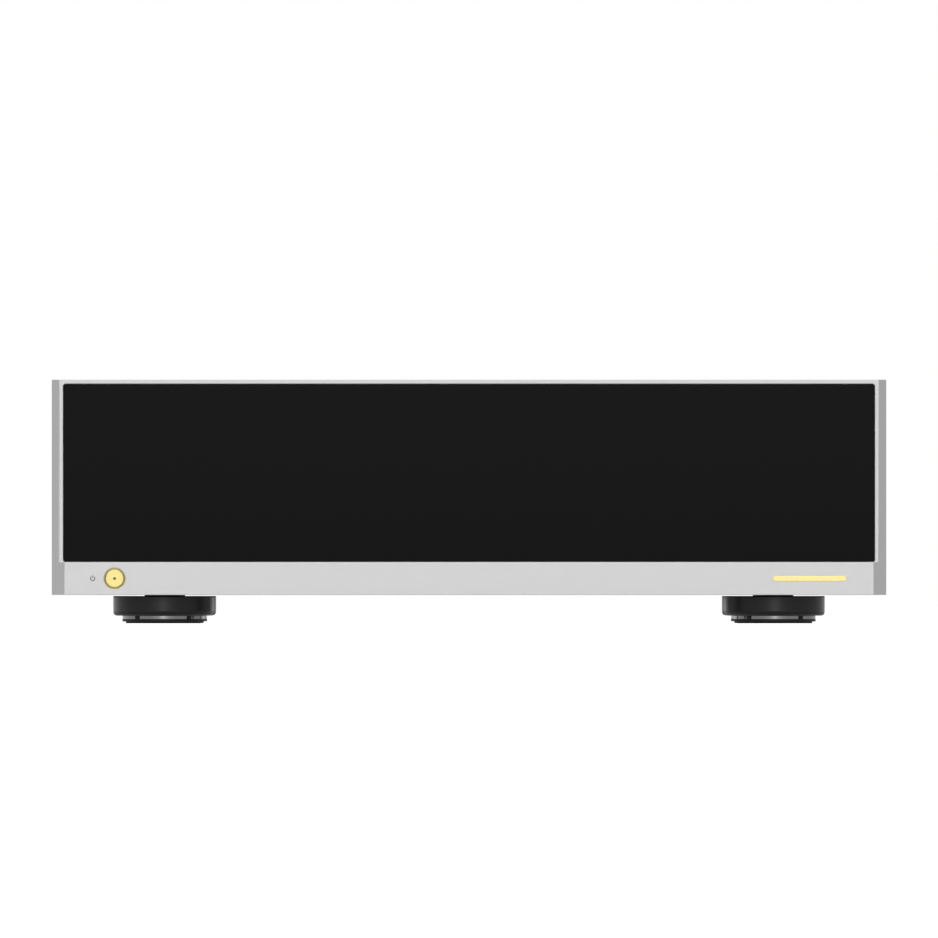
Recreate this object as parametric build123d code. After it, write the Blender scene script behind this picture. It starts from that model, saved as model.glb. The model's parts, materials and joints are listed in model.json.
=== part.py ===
from build123d import *
import os
from math import radians, sqrt, tan

# A full-size digital audio transport: bevelled front panel, black glass, closed case, damped feet.
# Lengths are millimetres. X runs to the right, the front faces -Y, and the feet stand on Z = 0.

# Case
case_width = 430.0
case_depth = 350.0
case_height = 111.0
side_thickness = 6.0
cover_thickness = 4.0
base_thickness = 3.0
back_thickness = 3.0
panel_gap = 0.25
rail_width = 10.0
rail_height = 10.0
channel_floor = 2.0
vent_width = 3.5
vent_length = 40.0
vent_pitch = 12.0
vent_count = 5
vent_to_foot = 8.0

# Front panel
front_thickness = 14.0
corner_bevel = 6.5
chin_height = 17.0
chin_step = 2.7
rim_top = 2.2
rim_side = 2.1
tongue_thickness = 3.0
tongue_length = 4.0
tongue_inset = 8.0
tongue_gap = 0.15

# Glass and display behind it
glass_thickness = 3.0
glass_corner = 1.2
glass_gap = 0.15
window_width = 112.0
window_height = 62.0
window_wall = 2.0
display_margin = 4.0
display_gap = 0.2
bracket_height = 16.0
bracket_thickness = 1.5
bracket_lap = 12.0
ribbon_width = 20.0
ribbon_thickness = 0.4
ribbon_bend = 5.0
ribbon_rise = 4.0

# Power button
button_inset = 32.45
button_radius = 4.7
button_edge = 0.4
button_proud = 0.5
button_travel = 0.8
bezel_radius = 5.4
bezel_depth = 5.0
bezel_fit = 0.05
slide_fit = 0.08
stop_gap = 0.1
flange_overlap = 1.0
flange_thickness = 1.0
flange_gap = 0.6
lamp_radius = 0.65
lamp_length = 4.0
lamp_fit = 0.05
tact_width = 6.0
tact_depth = 3.8
plunger_radius = 1.5
plunger_hold = 1.6
plunger_spare = 0.4
button_board_width = 24.0
edge_gap = 0.5

# Screws, drawn with few sides because they are small and many
screw_sides = 8
screw_radius = 1.5
screw_head_radius = 3.0
screw_length = 8.0
screw_fit = 0.05
screw_inset = 28.0
screw_sink = 0.1
dome_radius = 2.75
dome_height = 1.7
strap_screw_length = 6.0

# Feet
foot_inset_side = 57.2
foot_inset_end = 55.0
puck_radius = 25.9
puck_height = 10.2
neck_radius = 9.7
neck_height = 0.5
neck_sides = 24
stud_radius = 3.0
stud_short = 0.2
foot_plate_radius = 21.2
foot_plate_height = 1.8
post_across = 13.3
post_width = 2.2
post_length = 4.0
post_inset = 0.1
post_gap = 0.1
sole_radius = 21.2
sole_thickness = 1.2
pad_radius = 19.4
pad_thickness = 0.9

# Boards
board_thickness = 1.6
main_board_width = 165.0
main_board_depth = 180.0
main_board_height = 16.0
power_board_width = 126.0
power_board_depth = 104.0
power_board_height = 10.0
board_to_panel = 1.0
hole_inset = 6.0
support_width = 6.0
peg_radius = 1.5
peg_fit = 0.05
peg_height = 1.2

# Things on the boards
chip_width = 35.0
chip_height = 3.0
chip_from_left = 70.0
chip_from_front = 80.0
fin_count = 9
fin_pitch = 6.0
fin_thickness = 1.6
fin_height = 18.0
sink_floor = 3.0
sink_length = 52.0
crystal_width = 20.0
crystal_depth = 13.0
crystal_height = 11.0
crystal_pitch = 30.0
crystal_from_front = 140.0
capacitor_radius = 12.5
capacitor_sides = 24
capacitor_height = 40.0
capacitor_pitch = 34.0
capacitor_count = 2
capacitor_inset = 22.0
regulator_fins = 6
regulator_length = 60.0
regulator_inset = 30.0

# Transformer and divider
transformer_width = 104.0
transformer_corner = 12.0
transformer_height = 54.0
transformer_from_rail = 14.0
transformer_from_front = 20.0
mat_inset = 6.0
mat_thickness = 2.0
washer_width = 40.0
washer_thickness = 2.5
bolt_radius = 3.0
bolt_head_width = 10.0
bolt_head_height = 5.0
bolt_fit = 0.1
divider_x = -28.0
divider_thickness = 1.5
divider_foot = 12.0
divider_gap = 0.5
divider_start = 40.0
divider_end = 36.0

# Mains inlet with its fuse drawer
inlet_from_rail = 24.0
inlet_centre_height = 34.0
inlet_width = 24.4
inlet_height = 16.7
inlet_corner = 5.0
inlet_depth = 17.0
inlet_wall = 2.2
inlet_floor = 3.0
flange_lip = 2.2
flange_plate = 2.0
flange_corner = 2.0
blade_thickness = 2.0
blade_height = 4.0
blade_length = 14.0
blade_tab = 6.0
blade_spread = 7.0
blade_offset = 2.0
lead_width = 2.8
lead_bend = 6.0
lead_run = 12.0
drawer_pocket_height = 8.4
drawer_depth = 18.0
drawer_gap = 0.2
drawer_lip = 1.0
drawer_plate = 1.4
drawer_wall = 1.1
fuse_radius = 2.6
fuse_length = 20.0
fuse_gap = 0.15

# Mains switch
switch_spacing = 12.0
rocker_radius = 8.4
rocker_width = 9.6
rocker_crest = 2.0
rocker_under = 2.5
rocker_tilt = 10.0
rocker_gap = 0.2
pivot_radius = 1.0
pivot_depth = 1.6
pivot_reach = 0.7
pivot_fit = 0.1
switch_wall = 1.6
switch_room = 5.0
switch_back = 3.0

# Sockets in the rear panel
jack_spacing = 8.0
jack_proud = 0.5
cutout_gap = 0.3
network_width = 16.0
network_height = 13.6
network_depth = 21.0
network_port_width = 11.9
network_port_height = 7.0
network_port_depth = 14.0
network_latch_width = 6.2
network_latch_height = 1.8
usb_width = 14.6
usb_height = 15.8
usb_depth = 17.5
usb_port_width = 12.6
usb_port_height = 5.2
usb_port_depth = 10.0
usb_tongue_height = 1.9
usb_tongue_width = 11.2
usb_pitch = 7.6
i2s_width = 15.6
i2s_height = 6.4
i2s_depth = 12.0
i2s_port_width = 14.2
i2s_port_height = 4.8
i2s_port_depth = 8.0
i2s_shoulder = 1.6
i2s_tongue_width = 10.6
i2s_tongue_height = 1.0
optical_width = 10.6
optical_height = 11.0
optical_depth = 14.0
optical_port_width = 8.2
optical_port_height = 8.4
optical_port_depth = 9.4
shutter_thickness = 0.6
shutter_gap = 0.2
hinge_radius = 0.45
hinge_fit = 0.06
hinge_reach = 0.8
hinge_inset = 0.9
coax_rise = 10.0
coax_radius = 4.15
coax_barrel = 8.5
coax_wall = 0.6
coax_flange_width = 12.0
coax_flange_thickness = 1.5
coax_bore_depth = 8.0
coax_pin_radius = 1.7
coax_pin_depth = 7.0
coax_recess = 0.6
coax_fit = 0.05
aes_rise = 14.0
aes_flange_width = 26.0
aes_flange_height = 31.0
aes_flange_thickness = 1.5
aes_flange_corner = 3.0
aes_body_width = 20.0
aes_body_height = 24.0
aes_body_depth = 18.0
aes_port_radius = 8.3
aes_port_depth = 14.5
aes_pin_radius = 1.2
aes_pin_circle = 4.0
aes_pin_short = 2.0

# Places that follow from the sizes
foot_height = pad_thickness + sole_thickness + foot_plate_height + puck_height + neck_height
jack_reach = coax_flange_thickness + coax_barrel
front_y = -(case_depth + jack_reach - button_proud) / 2
back_y = front_y + case_depth
inner_front = front_y + front_thickness
inner_back = back_y - back_thickness
case_bottom = foot_height
case_top = case_bottom + case_height
floor_z = case_bottom + base_thickness
ceiling_z = case_top - cover_thickness
inner_x = case_width / 2 - side_thickness
rail_x = inner_x - rail_width
channel_x = inner_x - rail_width / 2
channel_depth = rail_height - channel_floor
rim_y = front_y + chin_step
chin_top = case_bottom + chin_height
glass_back = rim_y + glass_thickness
pocket_half = case_width / 2 - corner_bevel + chin_step - rim_side
pocket_top = case_top - rim_top
glass_z = (chin_top + pocket_top) / 2
display_front = glass_back + window_wall
display_half = window_width / 2 + display_margin
display_half_height = window_height / 2 + display_margin
strap_hole_x = display_half + bracket_lap / 2
button_x = button_inset - case_width / 2
button_z = case_bottom + chin_height / 2
flange_radius = button_radius + slide_fit + flange_overlap
flange_front = front_y + bezel_depth + stop_gap
plunger_front = flange_front + flange_thickness
board_top = floor_z + main_board_height + board_thickness
board_back = inner_back - board_to_panel
power_top = floor_z + power_board_height + board_thickness
foot_x = case_width / 2 - foot_inset_side
foot_front_y = front_y + foot_inset_end
foot_back_y = back_y - foot_inset_end
post_end = sqrt(foot_plate_radius**2 - (post_across + post_width / 2) ** 2) - post_inset
aes_x = rail_x - jack_spacing - aes_flange_width / 2
aes_z = floor_z + main_board_height + aes_rise
board_right = aes_x - aes_flange_width / 2 - jack_spacing / 2
board_left = board_right - main_board_width
network_x = board_right - jack_spacing / 2 - network_width / 2
usb_x = network_x - network_width / 2 - jack_spacing - usb_width / 2
i2s_x = usb_x - usb_width / 2 - jack_spacing - i2s_width / 2
optical_x = i2s_x - i2s_width / 2 - jack_spacing - optical_width / 2
coax_x = optical_x - optical_width / 2 - jack_spacing - coax_flange_width / 2
coax_z = board_top + coax_rise
jack_face = back_y + jack_proud
inlet_x = -(rail_x - inlet_from_rail)
inlet_body_width = inlet_width + 2 * inlet_wall
inlet_body_height = inlet_height + drawer_pocket_height + 3 * inlet_wall
inlet_z = floor_z + inlet_centre_height
inlet_bottom = inlet_z - inlet_body_height / 2
cavity_z = inlet_bottom + inlet_wall + inlet_height / 2
drawer_z = inlet_z + inlet_body_height / 2 - inlet_wall - drawer_pocket_height / 2
inlet_face = back_y + flange_plate
inlet_end = inlet_face - max(inlet_depth, drawer_depth + drawer_gap) - inlet_floor
switch_half_height = rocker_radius + rocker_gap
switch_half_width = rocker_width / 2 + rocker_gap
switch_x = inlet_x + inlet_body_width / 2 + flange_lip + switch_spacing + switch_half_width
pivot_y = back_y + flange_plate - pivot_depth
power_left = -(rail_x - jack_spacing)
power_back = inlet_end - lead_run - jack_spacing
transformer_x = -(rail_x - transformer_from_rail - transformer_width / 2)
transformer_y = inner_front + transformer_from_front + transformer_width / 2
transformer_floor = floor_z + mat_thickness
transformer_top = transformer_floor + transformer_height


def pane(x0, x1, z0, z1, corner=0.0):
    """A flat rectangle between two corners, its own corners rounded if asked."""
    width = x1 - x0
    height = z1 - z0
    outline = RectangleRounded(width, height, corner) if corner else Rectangle(width, height)
    return Pos((x0 + x1) / 2, (z0 + z1) / 2) * outline


def window(x, z, width, height, corner=0.0):
    """A flat rectangle about its centre."""
    return pane(x - width / 2, x + width / 2, z - height / 2, z + height / 2, corner)


def prism(outline, near, far):
    """Pull an outline drawn in X and Z through the depth, from near back to far."""
    plane = Plane((0, far, 0), x_dir=(1, 0, 0), z_dir=(0, -1, 0))
    return extrude(plane * outline, far - near, dir=(0, -1, 0))


def slab(outline, low, high):
    """Pull an outline drawn in X and Y upwards."""
    return extrude(Pos(0, 0, low) * outline, high - low, dir=(0, 0, 1))


def bar(outline, left, right):
    """Pull an outline drawn in Y and Z across the width."""
    plane = Plane((left, 0, 0), x_dir=(0, 1, 0), z_dir=(1, 0, 0))
    return extrude(plane * outline, right - left, dir=(1, 0, 0))


def turned_level(x, z, *points):
    """Turn a profile of radius and depth about a level line that runs front to back."""
    profile = Pos(x, 0, z) * Polygon(*points, align=None)
    return revolve(profile, Axis((x, 0, z), (0, 1, 0)))


def group(pieces):
    """Several separate solids in one sub-part."""
    return Compound(children=[solid for piece in pieces for solid in piece.solids()])


def few_sided(radius, sides=screw_sides):
    """Outline of a small screw, peg or hole, or of a round that nothing shows."""
    return RegularPolygon(radius, sides)


def hexagon(width):
    """Outline of a hexagon by its width across flats."""
    return RegularPolygon(width / 2, 6, major_radius=False)


def sunk_screw(extra=0.0):
    """A countersunk screw under Z = 0, or with extra the space that it needs."""
    head = screw_head_radius + extra
    shank = screw_radius + extra
    top = screw_sink if extra else 0.0
    cone_end = shank - head
    cone = loft([few_sided(head), Pos(0, 0, cone_end) * few_sided(shank)], ruled=True)
    screw = cone + slab(few_sided(shank), -screw_length - extra, cone_end)
    if top:
        screw += slab(few_sided(head), 0, top)
    return Pos(0, 0, -screw_sink) * screw


def headed_screw(length):
    """A screw with a low head on Z = 0 and its shank below."""
    return slab(few_sided(screw_radius), -length, 0) + slab(few_sided(dome_radius), 0, dome_height)


def cover_screw_places():
    """Where the cover is held, over the channels of both side panels."""
    first = inner_front + screw_inset
    last = back_y - screw_inset
    return [(side * channel_x, y) for side in (-1, 1) for y in (first, (first + last) / 2, last)]


def base_screw_places():
    """Where the base plate is held, under the channels of both side panels."""
    ends = (inner_front + screw_inset, back_y - screw_inset)
    return [(side * channel_x, y) for side in (-1, 1) for y in ends]


def rear_screw_places():
    """Where the rear panel is held, at the open ends of the four channels."""
    heights = (floor_z + channel_depth / 2, ceiling_z - channel_depth / 2)
    return [(side * channel_x, z) for side in (-1, 1) for z in heights]


def foot_places():
    """Centres of the four feet, left before right and front before rear."""
    return [(side * foot_x, y) for y in (foot_front_y, foot_back_y) for side in (-1, 1)]


def board_places(left, right, near, far):
    """The four supports of a board, set in from its corners."""
    across = (left + hole_inset, right - hole_inset)
    along = (near + hole_inset, far - hole_inset)
    return [(x, y) for x in across for y in along]


def main_board_places():
    """Supports of the main board, the rear ones clear of the sockets over them."""
    far = board_back - network_depth
    return board_places(board_left, board_right, board_back - main_board_depth, far)


def power_board_places():
    """Supports of the power board."""
    right = power_left + power_board_width
    return board_places(power_left, right, power_back - power_board_depth, power_back)


def front_panel():
    """Thick panel with bevelled ends, milled back above its chin, with a pocket for the glass."""
    half = case_width / 2
    left = [(-half, inner_front), (-half, front_y + corner_bevel), (corner_bevel - half, front_y)]
    right = [(-x, y) for x, y in reversed(left)]
    panel = slab(Polygon(*left, *right, align=None), case_bottom, case_top)
    panel -= prism(pane(-half, half, chin_top, case_top), front_y, rim_y)
    pocket = pane(-pocket_half, pocket_half, chin_top, pocket_top, glass_corner + glass_gap)
    panel -= prism(pocket, rim_y, glass_back)
    panel -= prism(window(0, glass_z, window_width, window_height), glass_back, display_front)
    recess = window(0, glass_z, 2 * (display_half + display_gap), 2 * (display_half_height + display_gap))
    panel -= prism(recess, display_front, inner_front)
    for x in (-strap_hole_x, strap_hole_x):
        hole = Pos(x, glass_z) * few_sided(screw_radius + screw_fit)
        panel -= prism(hole, inner_front - strap_screw_length, inner_front)
    bore = bezel_radius + bezel_fit
    room = flange_radius + flange_gap
    bezel_end = front_y + bezel_depth
    front = [(0, front_y), (bore, front_y), (bore, bezel_end)]
    rear = [(room, bezel_end), (room, inner_front), (0, inner_front)]
    panel -= turned_level(button_x, button_z, *front, *rear)
    low = case_bottom + tongue_inset - tongue_gap
    high = case_top - tongue_inset + tongue_gap
    for side in (-1, 1):
        inside = side * (inner_x - tongue_gap)
        outside = side * (inner_x + tongue_thickness + tongue_gap)
        groove = pane(min(inside, outside), max(inside, outside), low, high)
        panel -= prism(groove, inner_front - tongue_length - tongue_gap, inner_front)
    return panel


def front_glass():
    """Black glass that lies flush in the pocket of the front panel."""
    half = pocket_half - glass_gap
    glass = pane(-half, half, chin_top + glass_gap, pocket_top - glass_gap, glass_corner)
    return prism(glass, rim_y, glass_back)


def side_panel(side):
    """Extruded side wall with a rail along its top and bottom, each with an open screw channel."""
    outer = pane(inner_x, case_width / 2, case_bottom, case_top)
    slot = screw_radius + screw_fit
    rails = pane(rail_x, inner_x, floor_z, floor_z + rail_height)
    rails += pane(rail_x, inner_x, ceiling_z - rail_height, ceiling_z)
    rails -= pane(channel_x - slot, channel_x + slot, floor_z, floor_z + channel_depth)
    rails -= pane(channel_x - slot, channel_x + slot, ceiling_z - channel_depth, ceiling_z)
    tongue = pane(inner_x, inner_x + tongue_thickness, case_bottom + tongue_inset, case_top - tongue_inset)
    panel = prism(outer, inner_front, back_y) + prism(rails, inner_front, inner_back)
    panel += prism(tongue, inner_front - tongue_length, inner_front)
    return panel if side > 0 else mirror(panel, Plane.YZ)


def top_cover():
    """Flat cover that lies on the rails between the side panels."""
    half = inner_x - panel_gap
    cover = slab(pane(-half, half, inner_front + panel_gap, back_y), ceiling_z, case_top)
    for x, y in cover_screw_places():
        cover -= Pos(x, y, case_top) * sunk_screw(screw_fit)
    return cover


def vent_places():
    """Centres across of the air slots, in two rows under the boards."""
    half_row = (vent_count - 1) * vent_pitch / 2
    middle = (board_left + board_right) / 2
    rows = (middle, power_left + power_board_width / 2)
    return [x - half_row + n * vent_pitch for x in rows for n in range(vent_count)]


def base_plate():
    """Floor of the case, with air slots and the holes for screws, feet and transformer."""
    half = inner_x - panel_gap
    plate = slab(pane(-half, half, inner_front + panel_gap, back_y), case_bottom, floor_z)
    vent_y = foot_back_y - puck_radius - vent_to_foot - vent_length / 2
    for x in vent_places():
        plate -= slab(window(x, vent_y, vent_width, vent_length), case_bottom, floor_z)
    for x, y in base_screw_places():
        plate -= Pos(x, y, case_bottom) * Rot(180, 0, 0) * sunk_screw(screw_fit)
    for x, y in foot_places():
        plate -= slab(Pos(x, y) * few_sided(stud_radius + bolt_fit), case_bottom, floor_z)
    bolt_hole = Pos(transformer_x, transformer_y) * few_sided(bolt_radius + bolt_fit)
    return plate - slab(bolt_hole, case_bottom, floor_z)


def rear_panel():
    """Panel between cover and base, cut out for every socket."""
    half = inner_x - panel_gap
    gap = 2 * cutout_gap
    panel = pane(-half, half, floor_z + panel_gap, ceiling_z - panel_gap)
    panel -= window(inlet_x, inlet_z, inlet_body_width + gap, inlet_body_height + gap)
    switch_width = 2 * (switch_half_width + switch_wall) + gap
    panel -= window(switch_x, inlet_z, switch_width, 2 * (switch_half_height + switch_wall) + gap)
    seats = [
        (network_x, network_width, network_height),
        (usb_x, usb_width, usb_height),
        (i2s_x, i2s_width, i2s_height),
        (optical_x, optical_width, optical_height),
    ]
    for x, width, height in seats:
        panel -= window(x, board_top + height / 2, width + gap, height + gap)
    panel -= Pos(coax_x, coax_z) * few_sided(coax_radius - coax_wall + cutout_gap)
    panel -= window(aes_x, aes_z, aes_body_width + gap, aes_body_height + gap)
    for x, z in rear_screw_places():
        panel -= Pos(x, z) * few_sided(screw_radius + screw_fit)
    return prism(panel, inner_back, back_y)


def cover_screws():
    return group([Pos(x, y, case_top) * sunk_screw() for x, y in cover_screw_places()])


def base_screws():
    screw = Rot(180, 0, 0) * sunk_screw()
    return group([Pos(x, y, case_bottom) * screw for x, y in base_screw_places()])


def rear_screws():
    screw = Rot(-90, 0, 0) * headed_screw(screw_length)
    return group([Pos(x, back_y, z) * screw for x, z in rear_screw_places()])


def display_panel():
    """Display module, its frame in the recess and its screen stepped forward into the window."""
    module = prism(window(0, glass_z, 2 * display_half, 2 * display_half_height), display_front, inner_front)
    screen = window(0, glass_z, window_width - 2 * display_gap, window_height - 2 * display_gap)
    return module + prism(screen, glass_back + display_gap, display_front)


def display_bracket():
    """Strap across the back of the display, screwed to the front panel at both ends."""
    half = display_half + bracket_lap
    strap = window(0, glass_z, 2 * half, bracket_height)
    for x in (-strap_hole_x, strap_hole_x):
        strap -= Pos(x, glass_z) * few_sided(screw_radius + screw_fit)
    return prism(strap, inner_front, inner_front + bracket_thickness)


def bracket_screws():
    seat = inner_front + bracket_thickness
    screw = Rot(-90, 0, 0) * headed_screw(strap_screw_length + bracket_thickness - stop_gap)
    return group([Pos(x, seat, glass_z) * screw for x in (-strap_hole_x, strap_hole_x)])


def display_ribbon():
    """Flat ribbon from the foot of the display straight back, then down onto the main board."""
    board_front = board_back - main_board_depth
    level = glass_z - display_half_height + ribbon_rise
    end_y = board_front + 2 * ribbon_bend
    route = FilletPolyline((inner_front, level), (end_y, level), (end_y, board_top), radius=ribbon_bend)
    middle = (board_left + display_half) / 2
    return bar(trace(route, ribbon_thickness), middle - ribbon_width / 2, middle + ribbon_width / 2)


def power_button():
    """Round cap with a retaining flange behind the bezel and a well for its lamp."""
    face = front_y - button_proud
    back = flange_front + flange_thickness
    button = turned_level(
        button_x,
        button_z,
        (0, face),
        (button_radius - button_edge, face),
        (button_radius, face + button_edge),
        (button_radius, flange_front),
        (flange_radius, flange_front),
        (flange_radius, back),
        (0, back),
    )
    well = Pos(button_x, button_z) * few_sided(lamp_radius + lamp_fit)
    return button - prism(well, face, face + lamp_length)


def button_ring():
    """Bezel sleeve that lines the bore of the front panel and guides the button."""
    inner = button_radius + slide_fit
    end = front_y + bezel_depth
    profile = (inner, front_y), (bezel_radius, front_y), (bezel_radius, end), (inner, end)
    return turned_level(button_x, button_z, *profile)


def button_lamp():
    """Clear light guide in the middle of the button."""
    face = front_y - button_proud
    return prism(Pos(button_x, button_z) * few_sided(lamp_radius), face, face + lamp_length)


def button_board():
    """Small board behind the chin that carries the switch."""
    half_height = button_z - floor_z - edge_gap
    outline = window(button_x, button_z, button_board_width, 2 * half_height)
    return prism(outline, inner_front, inner_front + board_thickness)


def button_switch():
    """Body of the push switch, with the bore of its plunger."""
    front = inner_front - tact_depth
    body = prism(window(button_x, button_z, tact_width, tact_width), front, inner_front)
    bore = Pos(button_x, button_z) * few_sided(plunger_radius + slide_fit)
    return body - prism(bore, front, front + plunger_hold + button_travel + plunger_spare)


def switch_plunger():
    """Plunger of the push switch, which the button's flange pushes in."""
    face = Pos(button_x, button_z) * few_sided(plunger_radius)
    return prism(face, plunger_front, inner_front - tact_depth + plunger_hold)


def main_board():
    """Digital board that carries the rear sockets."""
    front = board_back - main_board_depth
    board = pane(board_left, board_right, front, board_back)
    for x, y in main_board_places():
        board -= Pos(x, y) * few_sided(peg_radius + peg_fit)
    return slab(board, board_top - board_thickness, board_top)


def power_board():
    """Rectifier and regulator board."""
    board = pane(power_left, power_left + power_board_width, power_back - power_board_depth, power_back)
    for x, y in power_board_places():
        board -= Pos(x, y) * few_sided(peg_radius + peg_fit)
    return slab(board, power_top - board_thickness, power_top)


def board_supports():
    """Hexagonal posts with a peg through the board, four under each board."""
    posts = []
    for places, top in ((main_board_places(), board_top), (power_board_places(), power_top)):
        for x, y in places:
            seat = top - board_thickness
            post = slab(Pos(x, y) * hexagon(support_width), floor_z, seat)
            posts.append(post + slab(Pos(x, y) * few_sided(peg_radius), seat, top + peg_height))
    return group(posts)


def finned(count, length, x, y, z, turn=0.0):
    """A heatsink as one comb-shaped extrusion, standing on z."""
    width = (count - 1) * fin_pitch + fin_thickness
    comb = pane(-width / 2, width / 2, 0, sink_floor)
    for n in range(count):
        left = n * fin_pitch - width / 2
        comb += pane(left, left + fin_thickness, 0, sink_floor + fin_height)
    return Pos(x, y, z) * Rot(0, 0, turn) * prism(comb, -length / 2, length / 2)


def chip_place():
    return board_left + chip_from_left, board_back - main_board_depth + chip_from_front


def processor():
    x, y = chip_place()
    return slab(window(x, y, chip_width, chip_width), board_top, board_top + chip_height)


def processor_heatsink():
    x, y = chip_place()
    return finned(fin_count, sink_length, x, y, board_top + chip_height)


def clock_oscillators():
    """Two canned crystal oscillators, one for each family of sampling rates."""
    x = board_left + chip_from_left
    y = board_back - main_board_depth + crystal_from_front
    cans = []
    for n in (-1, 1):
        can = window(x + n * crystal_pitch / 2, y, crystal_width, crystal_depth)
        cans.append(slab(can, board_top, board_top + crystal_height))
    return group(cans)


def power_capacitors():
    """Reservoir capacitors in a row along the left of the power board."""
    x = power_left + capacitor_inset
    middle = power_back - power_board_depth / 2
    cans = []
    for n in range(capacitor_count):
        y = middle + (n - (capacitor_count - 1) / 2) * capacitor_pitch
        can = Pos(x, y) * few_sided(capacitor_radius, capacitor_sides)
        cans.append(slab(can, power_top, power_top + capacitor_height))
    return group(cans)


def regulator_heatsink():
    """Heatsink of the regulators, along the right of the power board."""
    x = power_left + power_board_width - regulator_inset
    return finned(regulator_fins, regulator_length, x, power_back - power_board_depth / 2, power_top)


def transformer():
    """Mains transformer, potted in a square can with rounded corners and a bore for its bolt."""
    can = window(transformer_x, transformer_y, transformer_width, transformer_width, transformer_corner)
    can -= Pos(transformer_x, transformer_y) * few_sided(bolt_radius + bolt_fit)
    return slab(can, transformer_floor, transformer_top)


def transformer_mat():
    """Rubber mat between the transformer and the base plate."""
    width = transformer_width - 2 * mat_inset
    mat = window(transformer_x, transformer_y, width, width)
    mat -= Pos(transformer_x, transformer_y) * few_sided(bolt_radius + bolt_fit)
    return slab(mat, floor_z, transformer_floor)


def transformer_washer():
    """Square washer that the bolt pulls down on the can."""
    washer = window(transformer_x, transformer_y, washer_width, washer_width)
    washer -= Pos(transformer_x, transformer_y) * few_sided(bolt_radius + bolt_fit)
    return slab(washer, transformer_top, transformer_top + washer_thickness)


def transformer_bolt():
    """Hexagon bolt through washer, can and mat, down into the base plate."""
    seat = transformer_top + washer_thickness
    place = Pos(transformer_x, transformer_y)
    shank = slab(place * few_sided(bolt_radius), case_bottom + stud_short, seat)
    return shank + slab(place * hexagon(bolt_head_width), seat, seat + bolt_head_height)


def divider():
    """Bent sheet that screens the main board from the power supply."""
    foot = divider_x - divider_foot
    sheet = pane(divider_x - divider_thickness, divider_x, floor_z, ceiling_z - divider_gap)
    sheet += pane(foot, divider_x, floor_z, floor_z + divider_thickness)
    return prism(sheet, inner_front + divider_start, inner_back - divider_end)


def inlet_outline(extra=0.0):
    """Mouth of the inlet, with its two cut corners on the side of the earth blade."""
    half = inlet_width / 2
    low = cavity_z - inlet_height / 2
    high = cavity_z + inlet_height / 2
    cut = inlet_corner
    right = [(half, low), (half, high - cut), (half - cut, high)]
    left = [(-x, z) for x, z in reversed(right)]
    return Pos(inlet_x, 0) * Polygon(*right, *left, align=None)


def blade_places():
    """Centres of the two live blades and the earth blade between them."""
    low = cavity_z - blade_offset
    earth = (inlet_x, cavity_z + blade_offset)
    return [(inlet_x - blade_spread, low), (inlet_x + blade_spread, low), earth]


def mains_inlet():
    """Snap-in mains inlet with the pocket of the fuse drawer over its mouth."""
    lip = 2 * flange_lip
    flange = window(inlet_x, inlet_z, inlet_body_width + lip, inlet_body_height + lip)
    body = prism(chamfer(flange.vertices(), flange_corner), back_y, inlet_face)
    body += prism(window(inlet_x, inlet_z, inlet_body_width, inlet_body_height), inlet_end, back_y)
    body -= prism(inlet_outline(), inlet_face - inlet_depth, inlet_face)
    pocket = window(inlet_x, drawer_z, inlet_width, drawer_pocket_height)
    body -= prism(pocket, inlet_face - drawer_depth - drawer_gap, inlet_face)
    for x, z in blade_places():
        body -= prism(window(x, z, blade_thickness, blade_height), inlet_end, inlet_face - inlet_depth)
    return body


def inlet_blades():
    """Three blades through the floor of the inlet, with solder tabs inside the case."""
    tip = inlet_face - inlet_depth + blade_length
    tail = inlet_end - blade_tab
    return group([prism(window(x, z, blade_thickness, blade_height), tail, tip) for x, z in blade_places()])


def mains_leads():
    """Live and neutral leads, from the inlet's tabs down to the power board."""
    start = inlet_end - blade_tab
    end = start - lead_run
    z = cavity_z - blade_offset
    route = FilletPolyline((start, z), (end, z), (end, power_top), radius=lead_bend)
    run = trace(route, lead_width)
    half = lead_width / 2
    return group([bar(run, x - half, x + half) for x in (inlet_x - blade_spread, inlet_x + blade_spread)])


def fuse_drawer():
    """Drawer with a finger lip, open on top for the fuse that lies across it."""
    half = inlet_width / 2 - drawer_gap
    half_height = drawer_pocket_height / 2 - drawer_gap
    plate_top = half_height + drawer_lip
    front = inlet_face + drawer_gap
    end = inlet_face - drawer_depth
    tray = prism(window(inlet_x, drawer_z, 2 * half, 2 * half_height), end, front)
    plate = pane(inlet_x - half, inlet_x + half, drawer_z - half_height, drawer_z + plate_top)
    tray += prism(plate, front, front + drawer_plate)
    well = fuse_radius + fuse_gap
    low = drawer_z - half_height + drawer_wall
    hollow = pane(inlet_x - half + drawer_wall, inlet_x + half - drawer_wall, low, drawer_z + half_height)
    return tray - prism(hollow, end + drawer_wall, end + drawer_wall + 2 * well)


def fuse():
    """Glass fuse that lies across the drawer."""
    y = inlet_face - drawer_depth + drawer_wall + fuse_radius + fuse_gap
    z = drawer_z - drawer_pocket_height / 2 + drawer_gap + drawer_wall + fuse_radius
    return bar(Pos(y, z) * Circle(fuse_radius), inlet_x - fuse_length / 2, inlet_x + fuse_length / 2)


def switch_housing():
    """Housing of the mains switch, with the well and the pivot holes of its rocker."""
    lip = 2 * (switch_wall + flange_lip)
    width = 2 * switch_half_width
    height = 2 * switch_half_height
    wall = 2 * switch_wall
    floor = pivot_y - switch_room
    flange = window(switch_x, inlet_z, width + lip, height + lip)
    body = prism(chamfer(flange.vertices(), flange_corner), back_y, inlet_face)
    body += prism(window(switch_x, inlet_z, width + wall, height + wall), floor - switch_back, back_y)
    body -= prism(window(switch_x, inlet_z, width, height), floor, inlet_face)
    pivot = Pos(pivot_y, inlet_z) * few_sided(pivot_radius + pivot_fit)
    reach = rocker_width / 2 + pivot_reach + rocker_gap
    return body - bar(pivot, switch_x - reach, switch_x + reach)


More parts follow.
